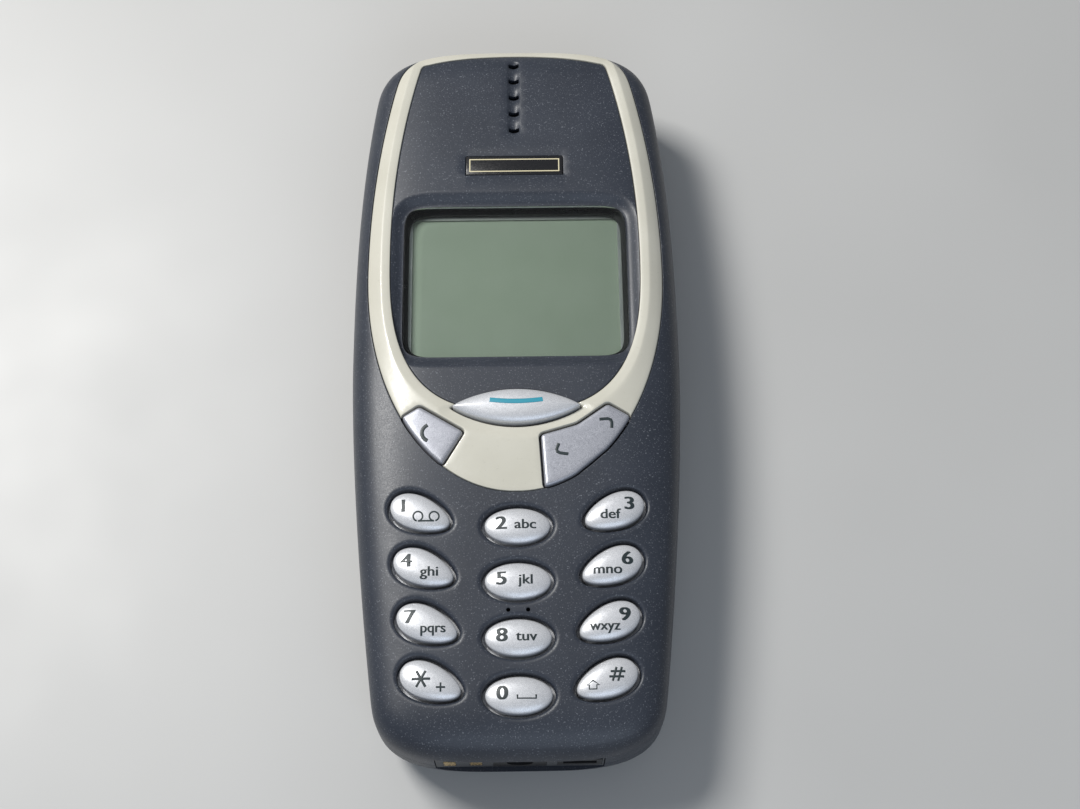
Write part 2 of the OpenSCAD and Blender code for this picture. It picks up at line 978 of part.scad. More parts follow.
module vibra_weight() {
    color("goldenrod") {
        translate(motor_at - [3, 0, 0])
            rotate([0, 90, 0])
                cylinder(r = shaft_r, h = 4.8);
        difference() {
            translate(motor_at - [3, 0, 0])
                rotate([0, 90, 0])
                    cylinder(r = motor_r + 0.1, h = 2.6);
            block(motor_at + [-4, -3, shaft_r / 2], motor_at + [0, 3, 3]);
        }
    }
}

module antenna_carrier() {
    color("dimgray")
        difference() {
            block([-15.5, carrier_y, 3.4], [15.5, carrier_y + 10.2, floor_z]);
            block([-13, carrier_y + 1.2, 5], [13, carrier_y + 9, far]);
        }
}

module antenna_plate() {
    color("gold")
        difference() {
            block([-14, carrier_y + 0.8, 3.1], [14, carrier_y + 9.2, 3.4]);
            block([-10, carrier_y + 3, 3], [14.1, carrier_y + 4, 4]);
            block([-14.1, carrier_y + 6, 3], [10, carrier_y + 7, 4]);
        }
}

// ---- Power button ----

module power_button() {
    half = button_w / 2;
    flange_half = button_flange_w / 2;
    back = head_y - 3.7;
    color("midnightblue") {
        block([-half, button_flange_y - 0.4, button_low], [half, head_y + power_proud, button_high]);
        block(
            [-flange_half, button_flange_y - 0.6, button_low - 0.5],
            [flange_half, button_flange_y, button_high]
        );
        block([-1.2, back, board_top + 0.3], [1.2, button_flange_y - 0.5, board_top + 1.5]);
    }
}

module power_switch() {
    front = head_y - 4.4;
    color("silver") {
        block([-2.6, front - 3, board_top], [2.6, front - 0.5, board_top + 2]);
        block([-0.7, front - 0.6, board_top + 0.5], [0.7, front, board_top + 1.4]);
    }
}

// ---- Ports ----

module charging_jack() {
    mouth = 2.2;
    color("black")
        difference() {
            block(
                [-jack_w / 2, nose_y, jack_z - jack_h / 2],
                [jack_w / 2, jack_end, jack_z + jack_h / 2]
            );
            translate([0, nose_y + mouth, jack_z])
                rotate([90, 0, 0])
                    cylinder(d = jack_bore, h = mouth + 1);
            translate([0, jack_end - 1, jack_z])
                rotate([90, 0, 0])
                    cylinder(d = jack_bore + 0.4, h = jack_l - mouth - 1);
        }
}

module charging_pin() {
    color("gold")
        translate([0, jack_end - 1, jack_z])
            rotate([90, 0, 0])
                cylinder(r = 0.5, h = jack_l - 3.6);
}

module headset_socket() {
    color("dimgray")
        difference() {
            block(
                [socket_x - socket_w / 2, nose_y, jack_z - socket_h / 2],
                [socket_x + socket_w / 2, nose_y + socket_l, jack_z + socket_h / 2]
            );
            block(
                [socket_x - 2.3, nose_y - 1, jack_z - 0.9],
                [socket_x + 2.3, nose_y + socket_l - 1, jack_z + 0.9]
            );
        }
}

module charger_contacts() {
    color("gold")
        for (x = pad_x)
            block([x - 0.8, nose_y - 0.05, jack_z - 1.3], [x + 0.8, nose_y + 0.5, jack_z + 1.3]);
}

// ---- Battery, card and back ----

module battery_pack() {
    w = battery_w / 2;
    color("dimgray")
        difference() {
            translate([0, battery_end, battery_z])
                rotate([90, 0, 0])
                    linear_extrude(battery_l)
                        polygon([
                            [-w + 3, 0], [w - 3, 0], [w, 1.5], [w, battery_t], [-w, battery_t], [-w, 1.5]
                        ]);
            block([-13.1, battery_y + 6, battery_z - 1], [13.1, battery_end - 6, battery_z + 0.1]);
            for (x = tip_at)
                block([x - 0.9, battery_end - 0.3, battery_tip_z], [x + 0.9, battery_end + 1, battery_tip_z + 3]);
        }
}

module battery_label() {
    color("white")
        block([-13, battery_y + 6.1, battery_z], [13, battery_end - 6.1, battery_z + 0.1]);
}

module battery_terminals() {
    color("gold")
        for (x = tip_at)
            block(
                [x - 0.9, battery_end - 0.3, battery_tip_z],
                [x + 0.9, battery_end, battery_tip_z + 3]
            );
}

module battery_contacts() {
    color("gray") {
        block([-8, battery_end + 0.6, battery_tip_z], [8, battery_end + 4.2, board_z]);
        for (x = tip_at)
            block(
                [x - 0.4, battery_end + fit, battery_tip_z + 0.6],
                [x + 0.4, battery_end + 0.7, battery_tip_z + 2.6]
            );
    }
}

module sim_reader() {
    color("black")
        block(
            [-12, card_y + 0.8, card_z + card[2] + fit],
            [12, card_y + card[1] - 0.8, board_z]
        );
}

module sim_card() {
    color("gold")
        block([-card[0] / 2, card_y, card_z], [card[0] / 2, card_y + card[1], card_z + card[2]]);
}

module sim_holder() {
    slot = [card[0] / 2 + 0.05, card[1], 0];
    color("silver")
        difference() {
            union() {
                difference() {
                    block(
                        [-card[0] / 2 - 0.4, card_y - 0.3, card_z - 0.35],
                        [card[0] / 2 + 0.4, hinge_y - 0.3, card_z + card[2]]
                    );
                    block(
                        [-slot[0], card_y - 1, card_z],
                        [slot[0], card_y + card[1] + 0.05, card_z + 2]
                    );
                    block([-8, card_y + 3, 0], [8, card_y + 12, far]);
                }
                for (side = [-1, 1])
                    translate([side * 11 - 2, hinge_y, hinge_z])
                        rotate([0, 90, 0])
                            cylinder(r = 0.6, h = 4);
            }
            translate([-far, hinge_y, hinge_z])
                rotate([0, 90, 0])
                    cylinder(r = hinge_r + run, h = 2 * far);
        }
}

module sim_hinge_pin() {
    color("silver")
        translate([-14.8, hinge_y, hinge_z])
            rotate([0, 90, 0])
                cylinder(r = hinge_r, h = 29.6);
}

// ---- Release button ----

release_flange = 3.1;

module release_button() {
    low = seam_z - back_depth(release_y) + 0.25;
    color("dimgray") {
        post([0, release_y], release_r, low, release_flange + 0.1);
        post([0, release_y], release_r + 0.5, release_flange, release_flange + 0.6);
        post([0, release_y], 1.2, release_flange + 0.5, floor_z - release_travel);
    }
}

module release_spring() {
    turns = 3;
    steps = 12;
    low = release_flange + 0.75;
    high = floor_z - 2.95;
    wire = 0.12;
    coil = 1.75;
    sides = 6;
    count = turns * steps;
    points = [
        for (i = [0:count])
            for (k = [0:sides - 1])
                let (a = i * 360 / steps, b = k * 360 / sides, r = coil + wire * cos(b))
                [r * cos(a), release_y + r * sin(a), low + (high - low) * i / count + wire * sin(b)]
    ];
    side_faces = [
        for (i = [0:count - 1])
            for (k = [0:sides - 1])
                let (a = i * sides + k, b = i * sides + (k + 1) % sides)
                for (f = [[a, b + sides, b], [a, a + sides, b + sides]]) f
    ];
    color("silver")
        polyhedron(
            points,
            concat(
                side_faces,
                [[for (k = [0:sides - 1]) k], [for (k = [sides - 1:-1:0]) count * sides + k]]
            )
        );
}

// Ribs inside the back cover's wall that centre it on the chassis
module centring_rib(x_side, y) {
    x = x_side * half_width(y, back_wall);
    hull() {
        translate([x, y, seam_z - 0.6])
            cube([0.8, 1.6, 0.8], center = true);
        translate([x, y, seam_z - 2])
            cube([0.2, 1.6, 0.8], center = true);
    }
}

module back_cover() {
    color("midnightblue")
        difference() {
            union() {
                difference() {
                    back_skin(0);
                    back_skin(back_wall);
                }
                for (side = [-1, 1])
                    for (y = [-36, -14, 16, 36]) centring_rib(side, y);
            }
            block([-far, -far, seam_z - seam_gap / 2], [far, far, seam_z + 1]);
            block([-far, -far, -1], [far, far, 0]);
            post([0, release_y], release_r + 0.2, -1, seam_z);
            end_openings(fit);
        }
}

front_cover();
bezel_ring();
display_window();
window_gasket();
badge_plate();
number_key(0);  // key_1
number_key(1);  // key_2
number_key(2);  // key_3
number_key(3);  // key_4
number_key(4);  // key_5
number_key(5);  // key_6
number_key(6);  // key_7
number_key(7);  // key_8
number_key(8);  // key_9
number_key(9);  // key_star
number_key(10);  // key_0
number_key(11);  // key_hash
navi_key();
clear_key();
scroll_key();
keypad_mat();
keypad_light_guide();
dome_sheet();
backlight_leds();
display_frame();
display_glass();
display_light_guide();
zebra_connector();
chassis_frame();
chassis_screws();
main_board();
rf_shield();
baseband_shield();
board_chips();
earpiece_speaker();
earpiece_gasket();
buzzer();
microphone();
microphone_boot();
vibra_motor();
vibra_weight();
antenna_carrier();
antenna_plate();
power_button();
power_switch();
charging_jack();
charging_pin();
headset_socket();
charger_contacts();
battery_contacts();
battery_pack();
battery_label();
battery_terminals();
sim_reader();
sim_card();
sim_holder();
sim_hinge_pin();
release_button();
release_spring();
back_cover();
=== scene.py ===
import json
import math

import bmesh
import bpy
import numpy as np
from mathutils import Matrix, Vector
from mathutils.geometry import delaunay_2d_cdt

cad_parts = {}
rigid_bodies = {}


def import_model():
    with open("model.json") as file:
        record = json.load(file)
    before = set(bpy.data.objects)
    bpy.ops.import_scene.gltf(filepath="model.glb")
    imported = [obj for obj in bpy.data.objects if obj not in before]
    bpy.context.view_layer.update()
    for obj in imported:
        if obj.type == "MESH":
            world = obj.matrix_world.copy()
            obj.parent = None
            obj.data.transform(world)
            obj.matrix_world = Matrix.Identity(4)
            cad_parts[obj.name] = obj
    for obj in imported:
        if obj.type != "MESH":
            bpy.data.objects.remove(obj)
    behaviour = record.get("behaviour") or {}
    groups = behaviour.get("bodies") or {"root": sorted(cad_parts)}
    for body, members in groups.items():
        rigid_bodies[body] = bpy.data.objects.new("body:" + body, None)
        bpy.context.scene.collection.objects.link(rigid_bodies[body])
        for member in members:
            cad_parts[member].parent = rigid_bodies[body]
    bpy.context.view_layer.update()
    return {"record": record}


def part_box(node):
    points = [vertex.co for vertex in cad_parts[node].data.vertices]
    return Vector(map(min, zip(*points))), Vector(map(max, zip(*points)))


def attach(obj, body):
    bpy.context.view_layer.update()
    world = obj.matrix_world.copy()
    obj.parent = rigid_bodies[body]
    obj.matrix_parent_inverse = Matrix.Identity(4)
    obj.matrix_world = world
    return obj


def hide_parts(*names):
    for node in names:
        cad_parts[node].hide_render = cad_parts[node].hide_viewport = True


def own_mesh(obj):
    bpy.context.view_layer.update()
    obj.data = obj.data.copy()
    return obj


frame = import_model()

# Shapes are worked out in millimetres, in the frame's own axes, and become metres in a mesh.
MM = 0.001


def span(node):
    """Lowest and highest corner of a CAD node, in millimetres."""
    low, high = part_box(node)
    return np.array(low) / MM, np.array(high) / MM


# ---- Places, from the frame ----

FOOT_Y = span("front_cover")[0][1]
HEAD_Y = span("back_cover")[1][1]
SEAM_Z = span("front_cover")[0][2] - 0.05
NAVI_STAND = 1.6
FACE_Z = span("navi_key")[1][2] - NAVI_STAND
WINDOW_LOW, WINDOW_HIGH = span("display_window")
WINDOW_FLANGE = 1.2
WINDOW_Y = (WINDOW_LOW[1] + WINDOW_HIGH[1]) / 2
WINDOW_A = (WINDOW_HIGH[0] - WINDOW_LOW[0]) / 2 - WINDOW_FLANGE
WINDOW_B = (WINDOW_HIGH[1] - WINDOW_LOW[1]) / 2 - WINDOW_FLANGE
WINDOW_TOP = WINDOW_HIGH[2]
BADGE_LOW, BADGE_HIGH = span("badge_plate")
RELEASE_LOW, RELEASE_HIGH = span("release_button")
RELEASE_Y = (RELEASE_LOW[1] + RELEASE_HIGH[1]) / 2
RELEASE_R = 2.4

# ---- The covers' curves, as the CAD has them ----

BODY_W = 48.2
BELLY_Y = 2
FOOT_TAPER, HEAD_TAPER = 4.8, 4.2
WALL, BACK_WALL = 1.6, 1.3
FACE_R, FACE_Y = 640, 5
BLUNT = 0.998
FOOT_CORNER, FOOT_POWER = 9.5, 3.2
HEAD_CORNER, HEAD_POWER = 10.5, 3
FRONT_EDGE, FRONT_END_POWER, FRONT_POWER = 8, 3, 5
BACK_EDGE, BACK_END_POWER, BACK_POWER = 12, 2.5, 4.5
BACK_FLAT = 0.2
FIT = 0.1
GAP = 0.4
FLANGE_T = 0.6
STEM_R = 1.3
MIDDLE_STEM_UP = 1.2
RING_PROUD, RING_DEPTH = 0.5, 0.8
RING_LOW = FACE_Z - 4.8


def rounding(t, n):
    t = np.clip(t, 0, 1)
    return np.where(t <= 0, 1.0, (1 - (BLUNT * t) ** n) ** (1 / n))


def closing(y, d, foot, foot_n, head, head_n):
    up = rounding((y - HEAD_Y + head) / (head - d), head_n)
    down = rounding((FOOT_Y + foot - y) / (foot - d), foot_n)
    return np.where(y > 0, up, down)


def side(y):
    below = FOOT_TAPER * (np.clip(BELLY_Y - y, 0, None) / (BELLY_Y - FOOT_Y)) ** 1.6
    above = HEAD_TAPER * (np.clip(y - BELLY_Y, 0, None) / (HEAD_Y - BELLY_Y)) ** 2.6
    return BODY_W / 2 - np.where(y < BELLY_Y, below, above)


def half_width(y, d=0.0):
    return (side(y) - d) * closing(y, d, FOOT_CORNER, FOOT_POWER, HEAD_CORNER, HEAD_POWER)


def across(x, y, d, n):
    """Fall of a skin towards its sides: 1 in the middle, 0 at its widest."""
    return (1 - np.clip(np.abs(x) / half_width(y, d), 0, 1) ** n) ** (1 / n)


def front_z(x, y, d=0.0):
    ends = closing(y, d, FRONT_EDGE, FRONT_END_POWER, FRONT_EDGE, FRONT_END_POWER)
    height = (FACE_Z - SEAM_Z - d - (y - FACE_Y) ** 2 / (2 * FACE_R)) * ends
    return SEAM_Z + height * across(x, y, d, FRONT_POWER)


def back_z(x, y, d=0.0):
    ends = closing(y, d, BACK_EDGE, BACK_END_POWER, BACK_EDGE, BACK_END_POWER)
    return SEAM_Z - (SEAM_Z + BACK_FLAT - d) * ends * across(x, y, d, BACK_POWER)


# ---- Plan curves: closed loops of points, counter-clockwise ----


def mirrored(points):
    """A closed loop from its right half, which runs from the bottom middle to the top middle."""
    right = np.array(points, float)
    left = right[::-1] * [-1, 1]
    return np.vstack([right, left])


def even(loop, step):
    """The same closed loop with points evenly spaced along it."""
    closed = np.vstack([loop, loop[:1]])
    along = np.concatenate([[0], np.cumsum(np.linalg.norm(np.diff(closed, axis=0), axis=1))])
    count = max(12, int(round(along[-1] / step)))
    at = np.arange(count) * along[-1] / count
    return np.column_stack([np.interp(at, along, closed[:, k]) for k in (0, 1)])


def soften(loop, step, reach):
    """Rounds a loop's corners: evenly spaced points, each averaged with those within reach."""
    points = even(loop, step)
    count = int(reach / step)
    weights = np.cos(np.linspace(-math.pi / 2, math.pi / 2, 2 * count + 1)) + 0.05
    total = sum(w * np.roll(points, k, 0) for k, w in zip(range(-count, count + 1), weights))
    return total / weights.sum()


def grown(loop, d):
    """The loop moved outwards by d along its normals."""
    along = np.roll(loop, -1, 0) - np.roll(loop, 1, 0)
    normal = np.column_stack([along[:, 1], -along[:, 0]])
    length = np.linalg.norm(normal, axis=1, keepdims=True)
    return loop + d * normal / np.maximum(length, 1e-9)


def body_outline(d, step=0.55):
    """Widest outline of a skin that lies d inside the outside."""
    t = np.sin(np.linspace(0, math.pi / 2, 60)) ** 0.6
    reach = 12
    foot = FOOT_Y + reach - (reach - d) * t[::-1]
    head = HEAD_Y - reach + (reach - d) * t
    y = np.concatenate([foot, np.linspace(foot[-1], head[0], 80)[1:-1], head])
    return even(mirrored(np.column_stack([half_width(y, d), y])), step)


RING_Y, RING_A, RING_FOOT, RING_POWER = 15.6, BODY_W / 2 - 2.35, 34.9, 2.08
RING_LEAN, RING_HEAD, RING_CORNER, RING_HEAD_POWER = 0.0035, HEAD_Y - 0.7, 8.9, 3.5
PANEL_Y, PANEL_A, PANEL_FOOT, PANEL_POWER = 18.6, RING_A - 3.25, 26, 2.85
PANEL_LEAN, PANEL_HEAD, PANEL_HEAD_R, PANEL_CORNER = 0.0039, HEAD_Y - 2.5, 49.2, 1.2


def bowl(cy, a, b, n, steps=40):
    t = np.linspace(0.02, 1, steps) * math.pi / 2
    return np.column_stack([a * np.sin(t) ** (2 / n), cy - b * np.cos(t) ** (2 / n)])


def ring_plan():
    straight = RING_HEAD - RING_CORNER
    y = np.concatenate([
        np.linspace(RING_Y, straight, 20)[1:],
        straight + RING_CORNER * np.sin(np.linspace(0, math.pi / 2, 24)[1:]) ** 0.57,
    ])
    turn = rounding((y - straight) / RING_CORNER, RING_HEAD_POWER)
    x = (RING_A - RING_LEAN * (y - RING_Y) ** 2) * turn
    return mirrored(np.vstack([bowl(RING_Y, RING_A, RING_FOOT, RING_POWER), np.column_stack([x, y])]))


def panel_plan():
    corner_y = PANEL_HEAD - (PANEL_A - 5.2) ** 2 / (2 * PANEL_HEAD_R) - 1.1
    y = np.linspace(PANEL_Y, corner_y, 20)[1:]
    x = PANEL_A - PANEL_LEAN * (y - PANEL_Y) ** 2
    corner = np.array([x[-1] - PANEL_CORNER, corner_y])
    t = np.radians(np.arange(12, 72, 12))
    arc = corner + PANEL_CORNER * np.column_stack([np.cos(t), np.sin(t)])
    top_x = np.linspace(corner[0], 0.3, 16)
    top = np.column_stack([top_x, PANEL_HEAD - top_x**2 / (2 * PANEL_HEAD_R)])
    sides = np.column_stack([x, y])
    return mirrored(np.vstack([bowl(PANEL_Y, PANEL_A, PANEL_FOOT, PANEL_POWER), sides, arc, top]))


LENS_Y, LENS_A, LENS_UP, LENS_DOWN = -6.85, 9.05, 2.5, 2.6


def lens_plan(grow=0.0, count=96):
    t = np.arange(count) * 2 * math.pi / count
    s = np.sin(t)
    up = np.where(s > 0, LENS_UP, LENS_DOWN) + grow
    return np.column_stack([(LENS_A + grow) * np.cos(t), LENS_Y + s * (np.abs(s) + 0.25) / 1.25 * up])


def window_plan(grow=0.0, count=240):
    t = np.arange(count) * 2 * math.pi / count
    c, s = np.cos(t), np.sin(t)
    power = 0.17
    return np.column_stack([
        (WINDOW_A + grow) * np.sign(c) * np.abs(c) ** power,
        WINDOW_Y + (WINDOW_B + grow) * np.sign(s) * np.abs(s) ** power,
    ])


def circle(x, y, r, count=48):
    t = np.arange(count) * 2 * math.pi / count
    return np.column_stack([x + r * np.cos(t), y + r * np.sin(t)])


def box_plan(low, high, grow=0.0):
    (x0, y0), (x1, y1) = np.array(low[:2]) - grow, np.array(high[:2]) + grow
    return np.array([[x0, y0], [x1, y0], [x1, y1], [x0, y1]])


def clipped(loop, keep):
    """The part of a loop inside the convex loop keep."""
    points = [np.array(p, float) for p in loop]
    for a, b in zip(keep, np.roll(keep, -1, 0)):
        edge = b - a
        inward = np.array([-edge[1], edge[0]])
        heights = [float(inward @ (p - a)) for p in points]
        found = []
        for k, (p, h) in enumerate(zip(points, heights)):
            before, h0 = points[k - 1], heights[k - 1]
            if (h0 < 0) != (h < 0):
                found.append(before + (p - before) * h0 / (h0 - h))
            if h >= 0:
                found.append(p)
        points = found
    return np.array(points)


def counter_clockwise(loop):
    x, y = loop[:, 0], loop[:, 1]
    area = (x * np.roll(y, -1) - np.roll(x, -1) * y).sum()
    return loop if area > 0 else loop[::-1]


RING = even(ring_plan(), 0.45)
PANEL = even(panel_plan(), 0.45)
WINDOW = even(window_plan(), 0.5)


def bowl_key(corners):
    """Outline of a key in the ring, with soft corners and an outside that follows the bowl."""
    return soften(clipped(counter_clockwise(np.array(corners)), even(RING, 1.0)), 0.12, 0.75)


CLEAR = bowl_key([[-13.8, -6.6], [-7.5, -10.5], [-11.1, -16.3], [-18.6, -9.5]])
SCROLL = bowl_key([[3.4, -11.1], [8.6, -9.6], [13, -6.5], [17.6, -9.1], [4.0, -20.6]])

CLEAR_STEM = (-12, -10.9)
SCROLL_PIVOT = np.array([9.6, -11.6])
SCROLL_REACH, SCROLL_TURN = 4.2, math.radians(32)

# ---- Number keys ----

KEY_A, KEY_B, EGG_TAPER, EGG_TURN = 4.35, 2.4, 0.2, 22
KEY_NAMES = ["1", "2", "3", "4", "5", "6", "7", "8", "9", "star", "0", "hash"]
KEY_CROWN = 0.9
# Loops of a key's dome, as shares of its plan, closer together where it is steep
KEY_LOOPS = [math.sin(math.pi / 2 * k / 18) ** 0.8 for k in range(1, 18)] + [1.0]


def turned(points, degrees):
    a = math.radians(degrees)
    turn = np.array([[math.cos(a), math.sin(a)], [-math.sin(a), math.cos(a)]])
    return points @ turn


class NumberKey:
    """Plan and dome of one number key. The outer keys are eggs whose blunt ends point outwards."""

    def __init__(self, index):
        self.name = "key_" + KEY_NAMES[index]
        self.column = index % 3 - 1
        self.a, self.b = (KEY_A, KEY_B) if self.column else (KEY_A + 0.2, KEY_B + 0.13)
        self.taper = EGG_TAPER if self.column else 0.0
        self.angle = {-1: -EGG_TURN, 0: 0, 1: 180 + EGG_TURN}[self.column]
        low, high = span(self.name)
        flange = self.about_centre(1.0, 2 * GAP)
        self.centre = (low + high)[:2] / 2 - (flange.max(0) + flange.min(0)) / 2
        self.top = high[2]
        self.edge = self.top - KEY_CROWN
        self.bottom = low[2]

    def about_centre(self, scale, grow=0.0, count=72):
        t = np.arange(count) * 2 * math.pi / count
        u = (self.a + grow) * np.cos(t)
        v = (self.b + grow) * np.sin(t) * (1 - self.taper * np.cos(t))
        return scale * turned(np.column_stack([u, v]), self.angle)

    def plan(self, scale=1.0, grow=0.0):
        return self.centre + self.about_centre(scale, grow)

    def radius(self, xy):
        """0 at the middle of the key, 1 at its edge."""
        local = turned(xy - self.centre, -self.angle)
        u = local[:, 0] / self.a
        v = local[:, 1] / (self.b * (1 - self.taper * np.clip(u, -1, 1)))
        return np.hypot(u, v)

    def dome(self, xy):
        r = np.clip(self.radius(xy), 0, 1)
        return self.edge + KEY_CROWN * (1 - r**2.5) ** 0.6


NUMBER_KEYS = [NumberKey(i) for i in range(12)]


# ---- Mesh tools ----


def signed(loop, xy, reach=1e9):
    """Distance of each point to a closed loop, negative inside. Beyond reach it is only that."""
    low, high = loop.min(0) - reach, loop.max(0) + reach
    near = np.all((xy >= low) & (xy <= high), axis=1)
    out = np.full(len(xy), min(float(reach), 1e3))
    a, b = loop, np.roll(loop, -1, 0)
    ab = b - a
    length = (ab**2).sum(1) + 1e-18
    found = []
    for part in np.array_split(xy[near], max(1, near.sum() // 2000)):
        ap = part[:, None] - a
        t = np.clip((ap * ab).sum(2) / length, 0, 1)
        nearest = np.sqrt(((ap - t[..., None] * ab) ** 2).sum(2).min(1))
        x, y = part[:, :1], part[:, 1:]
        crosses = (a[:, 1] > y) != (b[:, 1] > y)
        rise = np.where(np.abs(ab[:, 1]) < 1e-12, 1e-12, ab[:, 1])
        hit = crosses & (x < a[:, 0] + ab[:, 0] * (y - a[:, 1]) / rise)
        inside = hit.sum(1) % 2 == 1
        found.append(np.where(inside, -nearest, nearest))
    out[near] = np.concatenate(found)
    return out


def filling(loops, step):
    """A triangular grid over the loops, without the points that lie close to them."""
    cell = step * 0.75
    every = np.vstack(loops)
    taken = set()
    for dx in (-0.5, 0, 0.5):
        for dy in (-0.5, 0, 0.5):
            cells = np.floor(every / cell + [dx, dy]).astype(int)
            taken.update(map(tuple, cells))
    low, high = every.min(0), every.max(0)
    rise = step * math.sqrt(3) / 2
    rows = int((high[1] - low[1]) / rise)
    points = []
    for r in range(1, rows + 1):
        x = np.arange(low[0] + (r % 2) * step / 2, high[0], step)
        points.append(np.column_stack([x, np.full(len(x), low[1] + r * rise)]))
    grid = np.vstack(points)
    free = [tuple(c) not in taken for c in np.floor(grid / cell).astype(int)]
    return grid[free]


def new_object(name, vertices, faces):
    mesh = bpy.data.meshes.new(name)
    mesh.from_pydata(np.asarray(vertices, float) * MM, [], faces)
    obj = bpy.data.objects.new(name, mesh)
    bpy.context.scene.collection.objects.link(obj)
    return obj


def tidy(obj, sharp_angle=38):
    """Merges equal points, turns the faces outwards and shades the mesh smooth up to an angle."""
    bm = bmesh.new()
    bm.from_mesh(obj.data)
    bmesh.ops.remove_doubles(bm, verts=bm.verts, dist=2e-7)
    bmesh.ops.dissolve_degenerate(bm, edges=bm.edges, dist=1e-8)
    bmesh.ops.recalc_face_normals(bm, faces=bm.faces)
    bm.to_mesh(obj.data)
    bm.free()
    obj.data.shade_smooth()
    obj.data.set_sharp_from_angle(angle=math.radians(sharp_angle))
    return obj


def slab(name, loops, inside, top, bottom, step):
    """Closed solid over a plan. The loops become edges, inside says which triangles belong to the
    plan, and top and bottom give the heights of its two faces at points of the plan."""
    points = np.vstack([*loops, filling(loops, step)])
    edges = []
    start = 0
    for loop in loops:
        count = len(loop)
        edges += [(start + k, start + (k + 1) % count) for k in range(count)]
        start += count
    found = delaunay_2d_cdt([Vector(p) for p in points], edges, [], 0, 1e-4)
    xy = np.array([tuple(p) for p in found[0]])
    triangles = np.array(found[2])
    triangles = triangles[inside(xy[triangles].mean(axis=1))]
    used, triangles = np.unique(triangles, return_inverse=True)
    xy, triangles = xy[used], triangles.reshape(-1, 3)
    a, b, c = (xy[triangles[:, k]] for k in range(3))
    flipped = (b - a)[:, 0] * (c - a)[:, 1] - (b - a)[:, 1] * (c - a)[:, 0] < 0
    triangles[flipped] = triangles[flipped][:, ::-1]
    high = top(xy)
    low = np.minimum(bottom(xy), high)
    count = len(xy)
    vertices = np.vstack([np.column_stack([xy, high]), np.column_stack([xy, low])])
    sides = set()
    for t in triangles.tolist():
        sides.update([(t[0], t[1]), (t[1], t[2]), (t[2], t[0])])
    walls = [(p, p + count, q + count, q) for p, q in sides if (q, p) not in sides]
    faces = triangles.tolist() + (triangles[:, ::-1] + count).tolist() + sorted(walls)
    return tidy(new_object(name, vertices, faces))


def stack(name, loops):
    """Closed solid from loops of 3D points, each joined to the next and the two ends capped."""
    count = len(loops[0])
    vertices = np.vstack([*loops, [loops[0].mean(0)], [loops[-1].mean(0)]])
    first, last = count * len(loops), count * len(loops) + 1
    faces = []
    for k in range(count):
        n = (k + 1) % count
        faces.append((first, k, n))
        faces.append((last, (len(loops) - 1) * count + n, (len(loops) - 1) * count + k))
        for level in range(len(loops) - 1):
            at = level * count
            faces.append((at + k, at + count + k, at + count + n, at + n))
    return new_object(name, vertices, faces)


def level(loop, z):
    """The plan loop as 3D points at a height, which may be an array."""
    return np.column_stack([loop, np.broadcast_to(z, len(loop))])


def joined(name, parts):
    """One object from several closed meshes."""
    bm = bmesh.new()
    for part in parts:
        bm.from_mesh(part.data)
        bpy.data.objects.remove(part)
    mesh = bpy.data.meshes.new(name)
    bm.to_mesh(mesh)
    bm.free()
    obj = bpy.data.objects.new(name, mesh)
    bpy.context.scene.collection.objects.link(obj)
    return tidy(obj)


def soft_box(low, high, radius, segments=3):
    """A box with rounded edges, between two corners in millimetres."""
    bm = bmesh.new()
    bmesh.ops.create_cube(bm, size=1)
    low, high = np.array(low, float), np.array(high, float)
    size = Matrix.Diagonal([*((high - low) * MM), 1])
    bm.transform(Matrix.Translation((low + high) / 2 * MM) @ size)
    bmesh.ops.bevel(
        bm, geom=list(bm.edges), offset=radius * MM, segments=segments, profile=0.5, affect="EDGES"
    )
    mesh = bpy.data.meshes.new("box")
    bm.to_mesh(mesh)
    bm.free()
    obj = bpy.data.objects.new("box", mesh)
    bpy.context.scene.collection.objects.link(obj)
    return obj


def cut(obj, low, high):
    """Takes a box out of a mesh."""
    tool = soft_box(low, high, 0.25)
    modifier = obj.modifiers.new("cut", "BOOLEAN")
    modifier.operation = "DIFFERENCE"
    modifier.solver = "MANIFOLD"
    modifier.object = tool
    bpy.context.view_layer.update()
    evaluated = obj.evaluated_get(bpy.context.evaluated_depsgraph_get())
    mesh = bpy.data.meshes.new_from_object(evaluated)
    obj.modifiers.clear()
    obj.data = mesh
    bpy.data.objects.remove(tool)
    return tidy(obj)


# ---- Procedural materials ----


